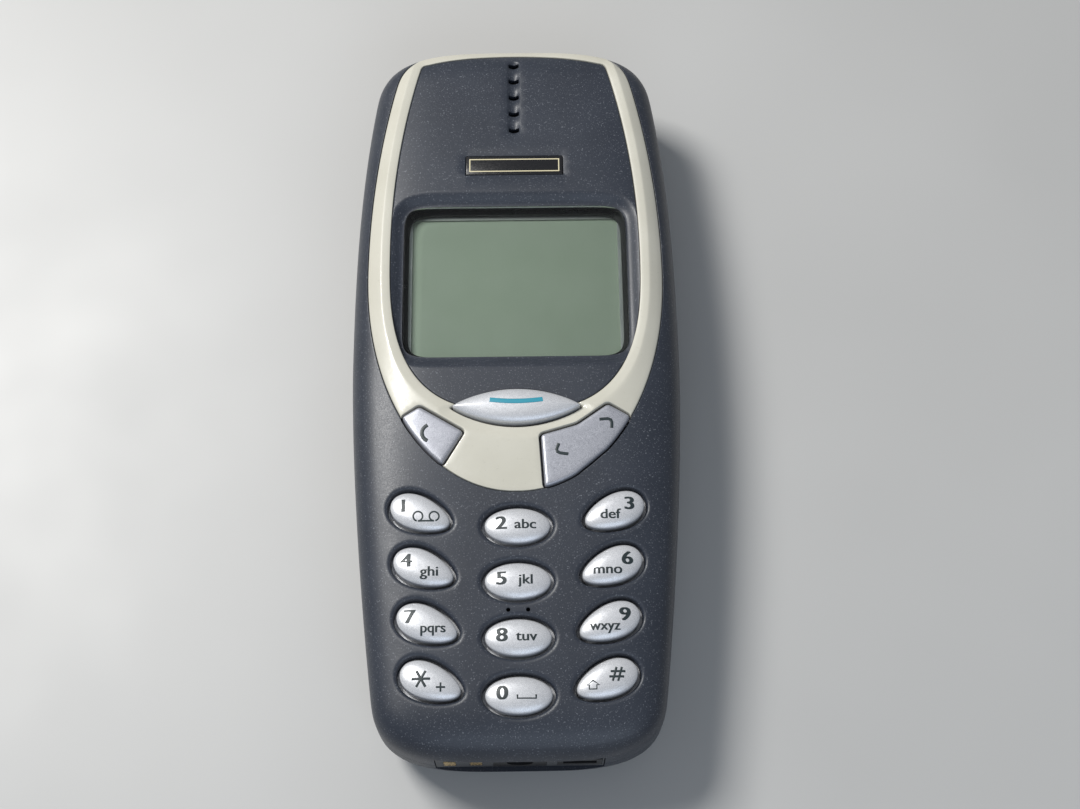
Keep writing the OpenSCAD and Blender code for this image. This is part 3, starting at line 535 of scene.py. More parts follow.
class Recipe:
    """Node tree of one material, built around its Principled shader."""

    def __init__(self, name, **sockets):
        self.material = bpy.data.materials.new(name)
        self.material.use_nodes = True
        self.tree = self.material.node_tree
        self.shader = self.tree.nodes["Principled BSDF"]
        for key, value in sockets.items():
            self.shader.inputs[key.replace("_", " ")].default_value = value
        self.place = self.add("ShaderNodeTexCoord").outputs["Object"]

    def add(self, kind, **inputs):
        node = self.tree.nodes.new(kind)
        for key, value in inputs.items():
            socket = node.inputs[key.replace("_", " ")]
            if hasattr(value, "links"):
                self.tree.links.new(value, socket)
            else:
                socket.default_value = value
        return node

    def noise(self, size, detail=2.0, rough=0.5, stretch=None):
        """Noise with features of a size in millimetres, from 0 to 1."""
        place = self.place
        if stretch:
            scaled = self.add("ShaderNodeMapping", Vector=self.place, Scale=stretch)
            place = scaled.outputs["Vector"]
        made = self.add(
            "ShaderNodeTexNoise", Vector=place, Scale=1 / (size * MM), Detail=detail, Roughness=rough
        )
        return made.outputs["Fac"]

    def ramp(self, value, low, high, out_low, out_high):
        made = self.add(
            "ShaderNodeMapRange",
            Value=value, From_Min=low, From_Max=high, To_Min=out_low, To_Max=out_high,
        )
        return made.outputs["Result"]

    def blend(self, share, first, second):
        node = self.tree.nodes.new("ShaderNodeMix")
        node.data_type = "RGBA"
        for index, value in ((0, share), (6, first), (7, second)):
            if hasattr(value, "links"):
                self.tree.links.new(value, node.inputs[index])
            else:
                node.inputs[index].default_value = value if index == 0 else (*value[:3], 1)
        return node.outputs[2]

    def color(self, value):
        self.tree.links.new(value, self.shader.inputs["Base Color"])

    def rough(self, value):
        self.tree.links.new(value, self.shader.inputs["Roughness"])

    def bump(self, height, depth, strength=1.0):
        """Bumps of a depth in millimetres."""
        made = self.add("ShaderNodeBump", Height=height, Distance=depth * MM, Strength=strength)
        self.tree.links.new(made.outputs["Normal"], self.shader.inputs["Normal"])


def textured_plastic(name, color, light, rough, grain=0.22, depth=0.012, specks=0.0, **sockets):
    """Moulded plastic: a fine spark texture, faint clouds of tone, and a few light specks."""
    r = Recipe(name, **sockets)
    clouds = r.noise(9, 3)
    fine = r.noise(grain, 2, 0.6)
    tone = r.blend(r.ramp(clouds, 0.3, 0.7, 0, 1), color, light)
    if specks:
        tone = r.blend(r.ramp(r.noise(grain * 1.3, 1, 0.5), 0.62, 0.78, 0, specks), tone, (0.55, 0.58, 0.64))
    r.color(tone)
    r.rough(r.ramp(fine, 0.3, 0.7, rough - 0.06, rough + 0.08))
    r.bump(fine, depth)
    return r.material


def pearl_paint(name, color, light, rough, metal):
    """Silver paint with a fine sparkle."""
    r = Recipe(name, Metallic=metal, Coat_Weight=0.12, Coat_Roughness=0.25)
    flake = r.noise(0.09, 1, 0.5)
    r.color(r.blend(r.ramp(flake, 0.38, 0.66, 0, 1), color, light))
    r.rough(r.ramp(r.noise(0.3, 2), 0.3, 0.7, rough - 0.05, rough + 0.06))
    r.bump(flake, 0.006)
    return r.material


def metal(name, color, light, rough, stretch=(1, 1, 1), **sockets):
    """Plated or rolled metal with fine lines along its length and light tarnish."""
    r = Recipe(name, Metallic=1.0, **sockets)
    lines = r.noise(0.35, 3, 0.6, stretch)
    r.color(r.blend(r.ramp(r.noise(4, 3), 0.35, 0.65, 0, 1), color, light))
    r.rough(r.ramp(lines, 0.3, 0.7, rough - 0.06, rough + 0.1))
    r.bump(lines, 0.004)
    return r.material


def circuit_board(name):
    """Green solder mask over copper tracks that show as a faint relief."""
    r = Recipe(name)
    brick = r.add(
        "ShaderNodeTexBrick", Vector=r.place, Scale=1 / (2.4 * MM), Mortar_Size=0.06,
        Color1=(0.01, 0.09, 0.035, 1), Color2=(0.012, 0.12, 0.05, 1), Mortar=(0.02, 0.2, 0.08, 1),
    )
    r.color(r.blend(r.ramp(r.noise(3, 2), 0.3, 0.7, 0, 0.6), brick.outputs["Color"], (0.01, 0.07, 0.03)))
    r.rough(r.ramp(r.noise(0.6, 2), 0.3, 0.7, 0.3, 0.45))
    r.bump(brick.outputs["Fac"], 0.02)
    return r.material


def clear_plastic(name):
    """Clear window: it shows what lies under it, with a gloss that grows at a glance."""
    r = Recipe(name)
    tree = r.tree
    gloss = r.add("ShaderNodeBsdfGlossy", Roughness=0.04)
    gloss.inputs["Color"].default_value = (1, 1, 1, 1)
    through = r.add("ShaderNodeBsdfTransparent")
    through.inputs["Color"].default_value = (0.93, 0.96, 0.95, 1)
    share = r.add("ShaderNodeFresnel", IOR=1.49)
    smear = r.ramp(r.noise(6, 3), 0.35, 0.65, 0.02, 0.07)
    tree.links.new(smear, gloss.inputs["Roughness"])
    mix = r.add("ShaderNodeMixShader", Fac=share.outputs["Fac"])
    tree.links.new(through.outputs[0], mix.inputs[1])
    tree.links.new(gloss.outputs[0], mix.inputs[2])
    tree.links.new(mix.outputs[0], tree.nodes["Material Output"].inputs["Surface"])
    tree.nodes.remove(r.shader)
    return r.material


def liquid_crystal(name):
    """Reflective grey-green display with a fine pixel grid and a faint cloudiness."""
    r = Recipe(name, Coat_Weight=0.3, Coat_Roughness=0.12)
    grid = r.add(
        "ShaderNodeTexBrick", Vector=r.place, Scale=1 / (0.36 * MM), Mortar_Size=0.05,
        Color1=(0.30, 0.345, 0.275, 1), Color2=(0.305, 0.35, 0.28, 1), Mortar=(0.28, 0.32, 0.255, 1),
    )
    grid.offset = 0.0
    grid.inputs["Row Height"].default_value = 0.5
    clouds = r.ramp(r.noise(5, 3), 0.35, 0.65, 0, 0.5)
    r.color(r.blend(clouds, grid.outputs["Color"], (0.32, 0.36, 0.295)))
    r.rough(r.ramp(r.noise(0.2, 2), 0.3, 0.7, 0.3, 0.42))
    return r.material


def spotted_label(name):
    """Plain paper label with a blue-grey band."""
    r = Recipe(name)
    across_y = r.add("ShaderNodeSeparateXYZ", Vector=r.place).outputs["Y"]
    band = r.ramp(across_y, 0.0200, 0.0202, 0, 1)
    r.color(r.blend(band, (0.62, 0.62, 0.59), (0.12, 0.2, 0.34)))
    r.rough(r.ramp(r.noise(0.5, 3), 0.3, 0.7, 0.5, 0.65))
    r.bump(r.noise(0.15, 2), 0.004)
    return r.material


NAVY = textured_plastic(
    "navy_plastic", (0.021, 0.026, 0.038), (0.028, 0.034, 0.048), 0.42, 0.16, 0.014, specks=0.22
)
CREAM = textured_plastic(
    "cream_plastic", (0.52, 0.505, 0.435), (0.57, 0.555, 0.485), 0.33, 0.5, 0.003, Coat_Weight=0.15
)
SILVER = pearl_paint("key_paint", (0.56, 0.57, 0.60), (0.78, 0.79, 0.82), 0.36, 0.4)
LILAC = pearl_paint("function_key_paint", (0.30, 0.31, 0.35), (0.48, 0.49, 0.54), 0.40, 0.45)
INK = textured_plastic("legend_ink", (0.012, 0.022, 0.026), (0.018, 0.030, 0.034), 0.45, 0.1, 0.003)
TEAL = textured_plastic("bar_ink", (0.025, 0.26, 0.36), (0.035, 0.30, 0.40), 0.45, 0.1, 0.003)
BADGE_DARK = textured_plastic("badge_black", (0.010, 0.010, 0.012), (0.014, 0.014, 0.016), 0.25, 0.3, 0.002)
BADGE_CREAM = textured_plastic("badge_cream", (0.62, 0.56, 0.36), (0.70, 0.64, 0.44), 0.4, 0.2, 0.004)

SLOT_MATERIALS = {
    "navy_plastic": NAVY,
    "cream_plastic": CREAM,
    "key_paint": SILVER,
    "badge_black": BADGE_DARK,
    "clear_window": clear_plastic("clear_window"),
    "display_glass": liquid_crystal("display_glass"),
    "black_rubber": textured_plastic("black_rubber", (0.012, 0.012, 0.013), (0.02, 0.02, 0.021), 0.75),
    "silicone": textured_plastic("silicone", (0.42, 0.44, 0.47), (0.48, 0.5, 0.53), 0.6, 0.4, 0.006),
    "clear_acrylic": textured_plastic(
        "clear_acrylic", (0.62, 0.66, 0.68), (0.7, 0.74, 0.75), 0.2, 0.8, 0.004, Coat_Weight=0.4
    ),
    "white_plastic": textured_plastic("white_plastic", (0.7, 0.7, 0.68), (0.78, 0.78, 0.76), 0.35),
    "dome_film": textured_plastic("dome_film", (0.5, 0.52, 0.55), (0.6, 0.62, 0.64), 0.25, Metallic=0.4),
    "led_white": textured_plastic("led_white", (0.8, 0.78, 0.55), (0.85, 0.84, 0.65), 0.25),
    "grey_plastic": textured_plastic("grey_plastic", (0.045, 0.048, 0.055), (0.06, 0.064, 0.07), 0.5),
    "black_plastic": textured_plastic("black_plastic", (0.01, 0.01, 0.011), (0.016, 0.016, 0.018), 0.4),
    "board_green": circuit_board("board_green"),
    "tinned_steel": metal("tinned_steel", (0.5, 0.5, 0.5), (0.6, 0.6, 0.59), 0.32, (1, 8, 1)),
    "gold_contact": metal("gold_contact", (0.8, 0.55, 0.2), (0.86, 0.62, 0.27), 0.25),
    "tungsten": metal("tungsten", (0.3, 0.3, 0.31), (0.38, 0.38, 0.39), 0.45),
    "battery_case": textured_plastic("battery_case", (0.04, 0.042, 0.048), (0.055, 0.058, 0.064), 0.45),
    "label_paper": spotted_label("label_paper"),
    "card_plastic": textured_plastic("card_plastic", (0.55, 0.56, 0.56), (0.62, 0.62, 0.61), 0.4),
}


def finish_piece(obj, material, body, slot=None, *nodes):
    obj.data.materials.clear()
    obj.data.materials.append(material)
    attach(obj, body)
    if nodes:
        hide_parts(*nodes)
    return obj


# ---- Front cover ----

# Distances in from the outline at which the steep edge of a skin has a loop
STEEP = (0, 0.006, 0.035, 0.12, 0.29, 0.6, 1.1, 1.85, 3.0)
# Heights of rounded edges: distance from the edge, and how deep the surface is there
EDGE_AT, EDGE_DEPTH = (-0.03, 0, 0.06, 0.15, 0.22, 0.3), (1.0, 0.1, 0.02, 0.0, 0.0, 0.0)
LIP_AT, LIP_DEPTH = (0, 0.08, 0.22, 0.42, 0.65, 0.8), (0.62, 0.3, 0.12, 0.03, 0.0, 0.0)
POCKET = GAP + 0.03
DIP_AT = np.append(np.linspace(0.1, 2.3, 12), 2.5)
DIP_DEPTH = np.append(0.5 + 0.5 * np.cos(np.linspace(0, math.pi, 12)), 0)
DIP = FACE_Z - WINDOW_TOP - 0.02

SLOTS, SLOT_PITCH = 5, 3.03
SLOT_Y = HEAD_Y - 4.7
SLOT_A, SLOT_B = 0.8, 0.38
GROOVE_LOW = SLOT_Y - (SLOTS - 1) * SLOT_PITCH - 1.2
GROOVE_HIGH = SLOT_Y + 1.1
GROOVE_HALF, GROOVE_DEEP = 1.15, 0.7

FRAME_LOW = span("display_window")[0][2] + 0.7
FRAME_GROW = 2.4
SOUND_HOLES = [circle(x, NUMBER_KEYS[4].centre[1] - 4, 0.3, 16) for x in (-1.36, 1.36)]
LENS_HOLE = lens_plan(GAP)
CLEAR_HOLE = grown(CLEAR, 0.3)
SCROLL_HOLE = grown(SCROLL, 0.3)
OUTLINE = body_outline(0)
INNER = body_outline(WALL)


def groove_spine(r):
    """Loop at a distance r round the earpiece's groove, as a stadium."""
    t = np.linspace(0, math.pi, 13)
    head = np.column_stack([r * np.cos(t), GROOVE_HIGH - GROOVE_HALF + r * np.sin(t)])
    foot = np.column_stack([-r * np.cos(t), GROOVE_LOW + GROOVE_HALF - r * np.sin(t)])
    return even(np.vstack([head, foot]), 0.3)


def slot_loops():
    found = []
    for k in range(SLOTS):
        y = SLOT_Y - k * SLOT_PITCH
        found.append(soften(box_plan((-SLOT_A, y - SLOT_B), (SLOT_A, y + SLOT_B)), 0.07, 0.25))
    return found


SLOT_LOOPS = slot_loops()
BADGE_HOLE = even(box_plan(BADGE_LOW, BADGE_HIGH, FIT), 0.4)


def cover_top(xy):
    x, y = xy.T
    z = front_z(x, y)
    skin = z.copy()
    for key in NUMBER_KEYS:
        gap = signed(key.plan(grow=POCKET), xy, 1.5)
        z = z - np.interp(gap, LIP_AT, LIP_DEPTH)
    z = z - DIP * np.interp(signed(WINDOW, xy, 3), DIP_AT, DIP_DEPTH)
    beyond = np.maximum(y - GROOVE_HIGH + GROOVE_HALF, GROOVE_LOW + GROOVE_HALF - y)
    spine = np.hypot(x, np.maximum(0, beyond))
    swell = 0.75 + 0.25 * np.cos(2 * math.pi * (y - SLOT_Y) / SLOT_PITCH)
    z = z - GROOVE_DEEP * swell * np.cos(np.clip(spine / GROOVE_HALF, 0, 1) * math.pi / 2) ** 1.5
    badge = signed(BADGE_HOLE, xy, 1)
    z = z - 0.6 * np.interp(badge, (-0.02, 0, 0.06), (1, 0.06, 0))
    outside = np.interp(signed(RING, xy, 5) - FIT, EDGE_AT, EDGE_DEPTH)
    inside = np.interp(-signed(PANEL, xy) - FIT, EDGE_AT, EDGE_DEPTH)
    groove = (RING_DEPTH + FIT) * np.minimum(outside, inside)
    z = np.minimum(z, np.maximum(skin - groove, np.minimum(RING_LOW - FIT, skin)))
    return np.maximum(z, SEAM_Z + 0.05)


def cover_bottom(xy):
    x, y = xy.T
    within = signed(INNER, xy) < 0
    z = np.where(within, front_z(x, y, WALL), SEAM_Z + 0.05)
    return np.where(signed(WINDOW, xy, 3) < FRAME_GROW, np.minimum(z, FRAME_LOW), z)


def front_cover():
    """Shell with the ring's groove, key pockets, window dip, earpiece groove and badge recess."""
    holes = [key.plan(grow=POCKET) for key in NUMBER_KEYS]
    holes += [grown(WINDOW, FIT), LENS_HOLE, CLEAR_HOLE, SCROLL_HOLE, *SLOT_LOOPS, *SOUND_HOLES]
    loops = [grown(OUTLINE, -d) for d in STEEP]
    loops += [grown(INNER, -d) for d in (0, 0.02, 0.2, 0.8, 2.0)]
    loops += [grown(RING, FIT + d) for d in EDGE_AT]
    loops += [grown(PANEL, -FIT - d) for d in EDGE_AT]
    loops += [key.plan(grow=POCKET + d) for key in NUMBER_KEYS for d in LIP_AT[1:]]
    loops += [grown(WINDOW, d) for d in (*DIP_AT[1:], FRAME_GROW, FRAME_GROW + 0.03)]
    loops += [groove_spine(r) for r in (0.3, 0.6, 0.85, 1.0, 1.15)]
    loops += [BADGE_HOLE, grown(BADGE_HOLE, -0.02), grown(BADGE_HOLE, 0.06)]
    loops += holes

    def inside(xy):
        kept = signed(OUTLINE, xy) < 0
        for hole in holes:
            kept &= signed(hole, xy, 0.5) > 0
        return kept

    return slab("front_cover_shell", loops, inside, cover_top, cover_bottom, 1.1)


# ---- Ring ----

CREST_SIDE, CREST_BOWL = 1.3, 1.75


def ring_top(xy):
    x, y = xy.T
    z = front_z(x, y)
    inner = np.minimum(signed(PANEL, xy), signed(LENS_HOLE, xy))
    outer = -signed(RING, xy)
    crest = np.interp(y, (-9, 4), (CREST_BOWL, CREST_SIDE))
    rise = 0.1 + (RING_PROUD - 0.1) * inner / crest
    fall = RING_PROUD * np.clip(outer, 0, None) / np.maximum(outer + inner - crest, 1e-3)
    soft = 0.035
    height = (rise + fall) / 2 - np.sqrt(((rise - fall) / 2) ** 2 + soft**2)
    edges = np.minimum(np.clip(inner, 0, 9), np.clip(outer, 0, 9))
    for hole in (CLEAR_HOLE, SCROLL_HOLE):
        edges = np.minimum(edges, np.clip(signed(hole, xy, 3), 0, 9))
    return z + np.clip(height, -0.1, RING_PROUD) - np.interp(edges, (0, 0.07, 0.2), (0.14, 0.03, 0))


def ring_bottom(xy):
    x, y = xy.T
    return np.maximum(front_z(x, y, RING_DEPTH), RING_LOW)


def bezel_ring():
    """Ring let into the face, with a soft ridge that runs along it."""
    holes = [PANEL, LENS_HOLE, CLEAR_HOLE, SCROLL_HOLE]
    loops = [RING, *holes]
    loops += [grown(RING, -d) for d in (0.07, 0.2, 0.7)]
    loops += [grown(PANEL, d) for d in (0.07, 0.2, 0.6, 1.0, 1.2, 1.3, 1.4, 1.6, 2.0, 2.5)]
    loops += [lens_plan(GAP + d) for d in (0.07, 0.2, 0.7, 1.2, 1.6, 1.75, 1.9, 2.2)]
    loops += [grown(hole, d) for hole in (CLEAR_HOLE, SCROLL_HOLE) for d in (0.07, 0.2)]

    def inside(xy):
        kept = signed(RING, xy) < 0
        for hole in holes:
            kept &= signed(hole, xy) > 0
        return kept

    return slab("bezel_ring_trim", loops, inside, ring_top, ring_bottom, 0.5)


# ---- Window and badge ----


def display_window():
    """Window with a chamfered edge, over the flange that holds it in the cover."""
    low = WINDOW_LOW[2]
    flange_top = low + 0.6
    crown = 0.05
    centre = np.array([0, WINDOW_Y])
    flat = grown(WINDOW, -0.5)
    levels = [level(centre + (flat - centre) * share, WINDOW_TOP - crown) for share in (0.05, 0.4, 0.8)]
    levels += [level(flat, WINDOW_TOP - crown), level(grown(WINDOW, -0.25), WINDOW_TOP - crown - 0.01)]
    levels += [level(grown(WINDOW, -0.08), WINDOW_TOP - 0.13), level(WINDOW, WINDOW_TOP - 0.3)]
    wide = grown(WINDOW, WINDOW_FLANGE)
    levels += [level(WINDOW, flange_top), level(wide, flange_top), level(wide, low)]
    return tidy(stack("display_window_lens", levels), 20)


def badge():
    plate = soft_box(BADGE_LOW, BADGE_HIGH - [0, 0, 0.02], 0.12)
    return joined("badge_inlay", [plate])


def badge_outline():
    """Thin raised outline, which lies on the badge's face."""
    inset, width, height = 0.5, 0.16, 0.03
    z = BADGE_HIGH[2] - 0.02
    outer = box_plan(BADGE_LOW, BADGE_HIGH, -inset)
    inner = box_plan(BADGE_LOW, BADGE_HIGH, -inset - width)
    loops = [level(outer, z - 0.1), level(outer, z + height), level(inner, z + height), level(inner, z - 0.1)]
    vertices = np.vstack(loops)
    faces = []
    for k in range(4):
        n = (k + 1) % 4
        for a in range(4):
            b = (a + 1) % 4
            faces.append((a * 4 + k, a * 4 + n, b * 4 + n, b * 4 + k))
    return tidy(new_object("badge_outline", vertices, faces))


# ---- Keys ----


def stem_loops(low, high, x, y, count):
    ring = circle(x, y, STEM_R, count)
    return [level(ring, high), level(ring, low + 0.2), level(circle(x, y, STEM_R - 0.2, count), low)]


def flange_levels(key_loops, wide, flange_low, flange_top, stem, stem_low):
    """From a key's edge down its side, over its flange and down to the foot of its stem."""
    edge = key_loops[-1][:, :2]
    out = list(key_loops)
    out += [level(edge, flange_top), level(wide, flange_top), level(wide, flange_low)]
    out += stem_loops(stem_low, flange_low, *stem, len(edge))
    return out


def number_key(key):
    stem = key.centre + [0, 0 if key.column else MIDDLE_STEM_UP]
    flange_low = flange_base(key)
    loops = []
    for r in KEY_LOOPS:
        plan = key.plan(r)
        loops.append(level(plan, key.dome(plan) if r < 1 else key.edge))
    levels = flange_levels(
        loops, key.plan(grow=2 * GAP), flange_low, flange_low + FLANGE_T, stem, key.bottom
    )
    return tidy(stack(key.name + "_cap", levels), 50)


def flange_base(key):
    """Height under a number key's flange, which lies just under the cover's wall."""
    x, y = key.plan(grow=2 * GAP).T
    return front_z(x, y, WALL).min() - FIT - FLANGE_T


NAVI_CROWN = 1.0
NAVI_TOP = span("navi_key")[1][2]
NAVI_EDGE = NAVI_TOP - NAVI_CROWN


def navi_key():
    centre = np.array([0, LENS_Y])
    low = span("navi_key")[0][2]
    outline = lens_plan()
    loops = []
    for r in KEY_LOOPS:
        plan = centre + (outline - centre) * r
        loops.append(level(plan, NAVI_EDGE + NAVI_CROWN * (1 - r**2.4) ** 0.55 if r < 1 else NAVI_EDGE))
    x, y = lens_plan(2 * GAP).T
    flange_top = front_z(x, y, WALL).min() - FIT
    levels = flange_levels(loops, lens_plan(2 * GAP), flange_top - FLANGE_T, flange_top, centre, low)
    return tidy(stack("navi_key_cap", levels), 50)


def navi_height(xy):
    """Height of the middle key's top at points of its plan."""
    x, y = xy.T
    r = np.clip(np.abs(x) / LENS_A, 0, 0.999)
    low, high = r.copy(), np.ones_like(r)
    for _ in range(24):
        middle = (low + high) / 2
        c = np.clip(np.abs(x) / (LENS_A * middle), 0, 1)
        s = np.sqrt(1 - c**2)
        up = np.where(y > LENS_Y, LENS_UP, LENS_DOWN)
        covers = middle * up * s * (s + 0.25) / 1.25 >= np.abs(y - LENS_Y)
        high = np.where(covers, middle, high)
        low = np.where(covers, low, middle)
    return NAVI_EDGE + NAVI_CROWN * (1 - high**2.4) ** 0.55


BOWL_PROUD = 0.3
BOWL_EDGE_AT, BOWL_EDGE_DEPTH = (0, 0.06, 0.16, 0.32, 0.55), (0.5, 0.25, 0.1, 0.025, 0)


def bowl_surface(xy):
    x, y = xy.T
    return front_z(x, y) + BOWL_PROUD + 0.12


def bowl_key_piece(name, node, outline, stems):
    """A key in the ring: its cap follows the bowl, over a flange and round stems."""
    low, high = span(node)
    ceiling = high[2]

    def top(xy):
        inset = np.clip(-signed(outline, xy), 0, None)
        return np.minimum(bowl_surface(xy), ceiling) - np.interp(inset, BOWL_EDGE_AT, BOWL_EDGE_DEPTH)

    spread = 1.15 * (outline - outline.mean(0)) + outline.mean(0)
    flange_top = front_z(*spread.T, WALL).min() - 5 * FIT
    flange_low = flange_top - FLANGE_T
    loops = [grown(outline, -d) for d in BOWL_EDGE_AT]
    cap = slab(
        name, loops, lambda xy: signed(outline, xy) < 0, top, lambda xy: np.full(len(xy), flange_low), 0.6
    )
    wide = soften(clipped(grown(outline, GAP + 0.3), even(grown(RING, 0.2), 1)), 0.3, 0.6)
    parts = [cap, stack("flange", [level(wide, flange_top), level(wide, flange_low)])]
    for x, y in stems:
        ring = circle(x, y, STEM_R, 32)
        parts.append(stack("stem", [level(ring, flange_top), level(ring, low[2])]))
    return joined(name, parts)


# ---- Legends ----

INK_RISE = 0.035


def draped(name, obj, surface, cell=0.3):
    """Cuts a thin flat shape in cells and lays it on a surface. Its heights stay as thickness."""
    bm = bmesh.new()
    bm.from_mesh(obj.data)
    bpy.data.objects.remove(obj)
    xs = [v.co.x for v in bm.verts]
    ys = [v.co.y for v in bm.verts]
    for axis, values in ((0, xs), (1, ys)):
        normal = Vector((1, 0, 0)) if axis == 0 else Vector((0, 1, 0))
        for place in np.arange(min(values) + cell * MM, max(values), cell * MM):
            geometry = list(bm.verts) + list(bm.edges) + list(bm.faces)
            bmesh.ops.bisect_plane(bm, geom=geometry, plane_co=normal * place, plane_no=normal)
    xy = np.array([v.co[:2] for v in bm.verts]) / MM
    for vertex, z in zip(bm.verts, surface(xy)):
        vertex.co.z += z * MM
    mesh = bpy.data.meshes.new(name)
    bm.to_mesh(mesh)
    bm.free()
    made = bpy.data.objects.new(name, mesh)
    bpy.context.scene.collection.objects.link(made)
    return made


def as_mesh(curve_object):
    bpy.context.view_layer.update()
    evaluated = curve_object.evaluated_get(bpy.context.evaluated_depsgraph_get())
    mesh = bpy.data.meshes.new_from_object(evaluated)
    mesh.transform(curve_object.matrix_world)
    obj = bpy.data.objects.new("flat", mesh)
    bpy.context.scene.collection.objects.link(obj)
    bpy.data.objects.remove(curve_object)
    return obj


def letters(text, height, centre, wide):
    """Flat letters, centred, with capitals of a height in millimetres."""
    curve = bpy.data.curves.new("letters", "FONT")
    curve.body = text
    curve.align_x = "CENTER"
    curve.align_y = "CENTER" if len(text) == 1 else "BOTTOM_BASELINE"
    curve.size = height / 0.73
    curve.extrude = INK_RISE
    obj = bpy.data.objects.new("letters", curve)
    bpy.context.scene.collection.objects.link(obj)
    scale = Matrix.Diagonal([MM * wide, MM, MM, 1])
    obj.matrix_world = Matrix.Translation([centre[0] * MM, centre[1] * MM, 0]) @ scale
    return as_mesh(obj)


def bold_letters(text, height, centre, bold, wide):
    """Letters with thicker strokes: copies side by side, bold millimetres to each side."""
    shifts = np.linspace(-bold, bold, 3)
    return [letters(text, height, centre + np.array([shift, 0]), wide) for shift in shifts]


def strokes(lines, width, centre=(0, 0)):
    """Flat round-ended strokes along polylines, in millimetres."""
    curve = bpy.data.curves.new("strokes", "CURVE")
    curve.dimensions = "3D"
    curve.bevel_depth = width / 2
    curve.bevel_resolution = 3
    curve.use_fill_caps = True
    for line, closed in lines:
        spline = curve.splines.new("POLY")
        spline.points.add(len(line) - 1)
        for point, (x, y) in zip(spline.points, line):
            point.co = (x, y, 0, 1)
        spline.use_cyclic_u = closed
    obj = bpy.data.objects.new("strokes", curve)
    bpy.context.scene.collection.objects.link(obj)
    scale = Matrix.Diagonal([MM, MM, MM * INK_RISE / (width / 2), 1])
    obj.matrix_world = Matrix.Translation([centre[0] * MM, centre[1] * MM, 0]) @ scale
    return as_mesh(obj)


def arc(x, y, r, start, end, count=20, squash=1.0):
    t = np.radians(np.linspace(start, end, count))
    return [(x + r * math.cos(a), y + squash * r * math.sin(a)) for a in t]


def message_symbol():
    """Two loops on a bar."""
    r, apart = 0.66, 1.12
    return [
        (arc(-apart, 0, r, -90, 255, 28), False),
        (arc(apart, 0, r, -75, 270, 28), False),
        ([(-apart, -r), (apart, -r)], False),
    ]


def star_symbol():
    r = 1.25
    ends = [(r * math.cos(math.radians(a)), r * math.sin(math.radians(a))) for a in (0, 60, 120)]
    return [([(-x, -y), (0, 0), (x, y)], False) for x, y in ends]


def hash_symbol():
    tall, lean, apart = 0.95, 0.28, 0.36
    bars = []
    for k in (-1, 1):
        bars.append(([(k * apart - lean, -tall), (k * apart + lean, tall)], False))
        bars.append(([(-1.0 + k * 0.1, k * apart), (1.0 + k * 0.1, k * apart)], False))
    return bars


PLUS = [([(-0.62, 0), (0.62, 0)], False), ([(0, -0.62), (0, 0.62)], False)]
SPACE_BAR = [([(-1.25, 0.3), (-1.25, -0.2), (1.25, -0.2), (1.25, 0.3)], False)]
SHIFT = [([(-0.5, -0.55), (-0.5, 0), (-0.85, 0), (0, 0.6), (0.85, 0), (0.5, 0), (0.5, -0.55)], True)]

# What is printed on each number key: the digit's centre, then letters or a symbol and their centre
DIGIT_AT = {-1: (-2.35, 0.85), 0: (-2.25, 0.15), 1: (2.1, 0.85)}
LETTERS_AT = {-1: (0.85, -1.3), 0: (1.1, -0.6), 1: (-0.65, -1.25)}
LETTERS = {"2": "abc", "3": "def", "4": "ghi", "5": "jkl", "6": "mno", "7": "pqrs", "8": "tuv", "9": "wxyz"}
DIGIT_TALL, LETTER_TALL = 1.95, 1.42


def number_legend(key):
    name = key.name[4:]
    at = key.centre
    parts = []
    if name.isdigit():
        parts += bold_letters(name, DIGIT_TALL, at + DIGIT_AT[key.column], 0.12, 1.2)
    if name in LETTERS:
        text = LETTERS[name]
        wide = 1.15 if len(text) == 3 else 1.02
        parts += bold_letters(text, LETTER_TALL, at + LETTERS_AT[key.column], 0.05, wide)
    symbols = {
        "1": [(message_symbol(), 0.24, (0.85, -0.65))],
        "0": [(SPACE_BAR, 0.26, (1.05, -0.35))],
        "star": [(star_symbol(), 0.34, (-1.25, 0.25)), (PLUS, 0.26, (1.4, -0.9))],
        "hash": [(hash_symbol(), 0.32, (1.35, 0.6)), (SHIFT, 0.22, (-1.95, -0.85))],
    }
    for lines, width, place in symbols.get(name, []):
        parts.append(strokes(lines, width, at + place))
    flat = joined("flat", parts)
    return draped(key.name + "_legend", flat, key.dome)


def clear_mark():
    return draped(
        "clear_key_legend",
        strokes([(arc(-12.1, -10.7, 1.25, 112, 248, 16, 1.0), False)], 0.55),
        bowl_surface,
    )


def scroll_marks():
    """Two corners that point along the key, one to each end."""
    first = [(5.95, -12.5), (5.62, -13.35), (5.72, -13.75), (6.15, -13.95), (7.25, -14.1)]
    second = [(11.75, -8.95), (12.9, -8.85), (13.35, -9.0), (13.5, -9.4), (13.45, -10.25)]
    return draped("scroll_key_legend", strokes([(first, False), (second, False)], 0.46), bowl_surface)


def navi_bar():
    x = np.linspace(-3.75, 3.75, 24)
    y = LENS_Y + 0.28 + 0.3 * (x / 3.75) ** 2
    return draped("navi_key_bar", strokes([(list(zip(x, y)), False)], 0.72), navi_height)


# ---- Back cover and buttons ----


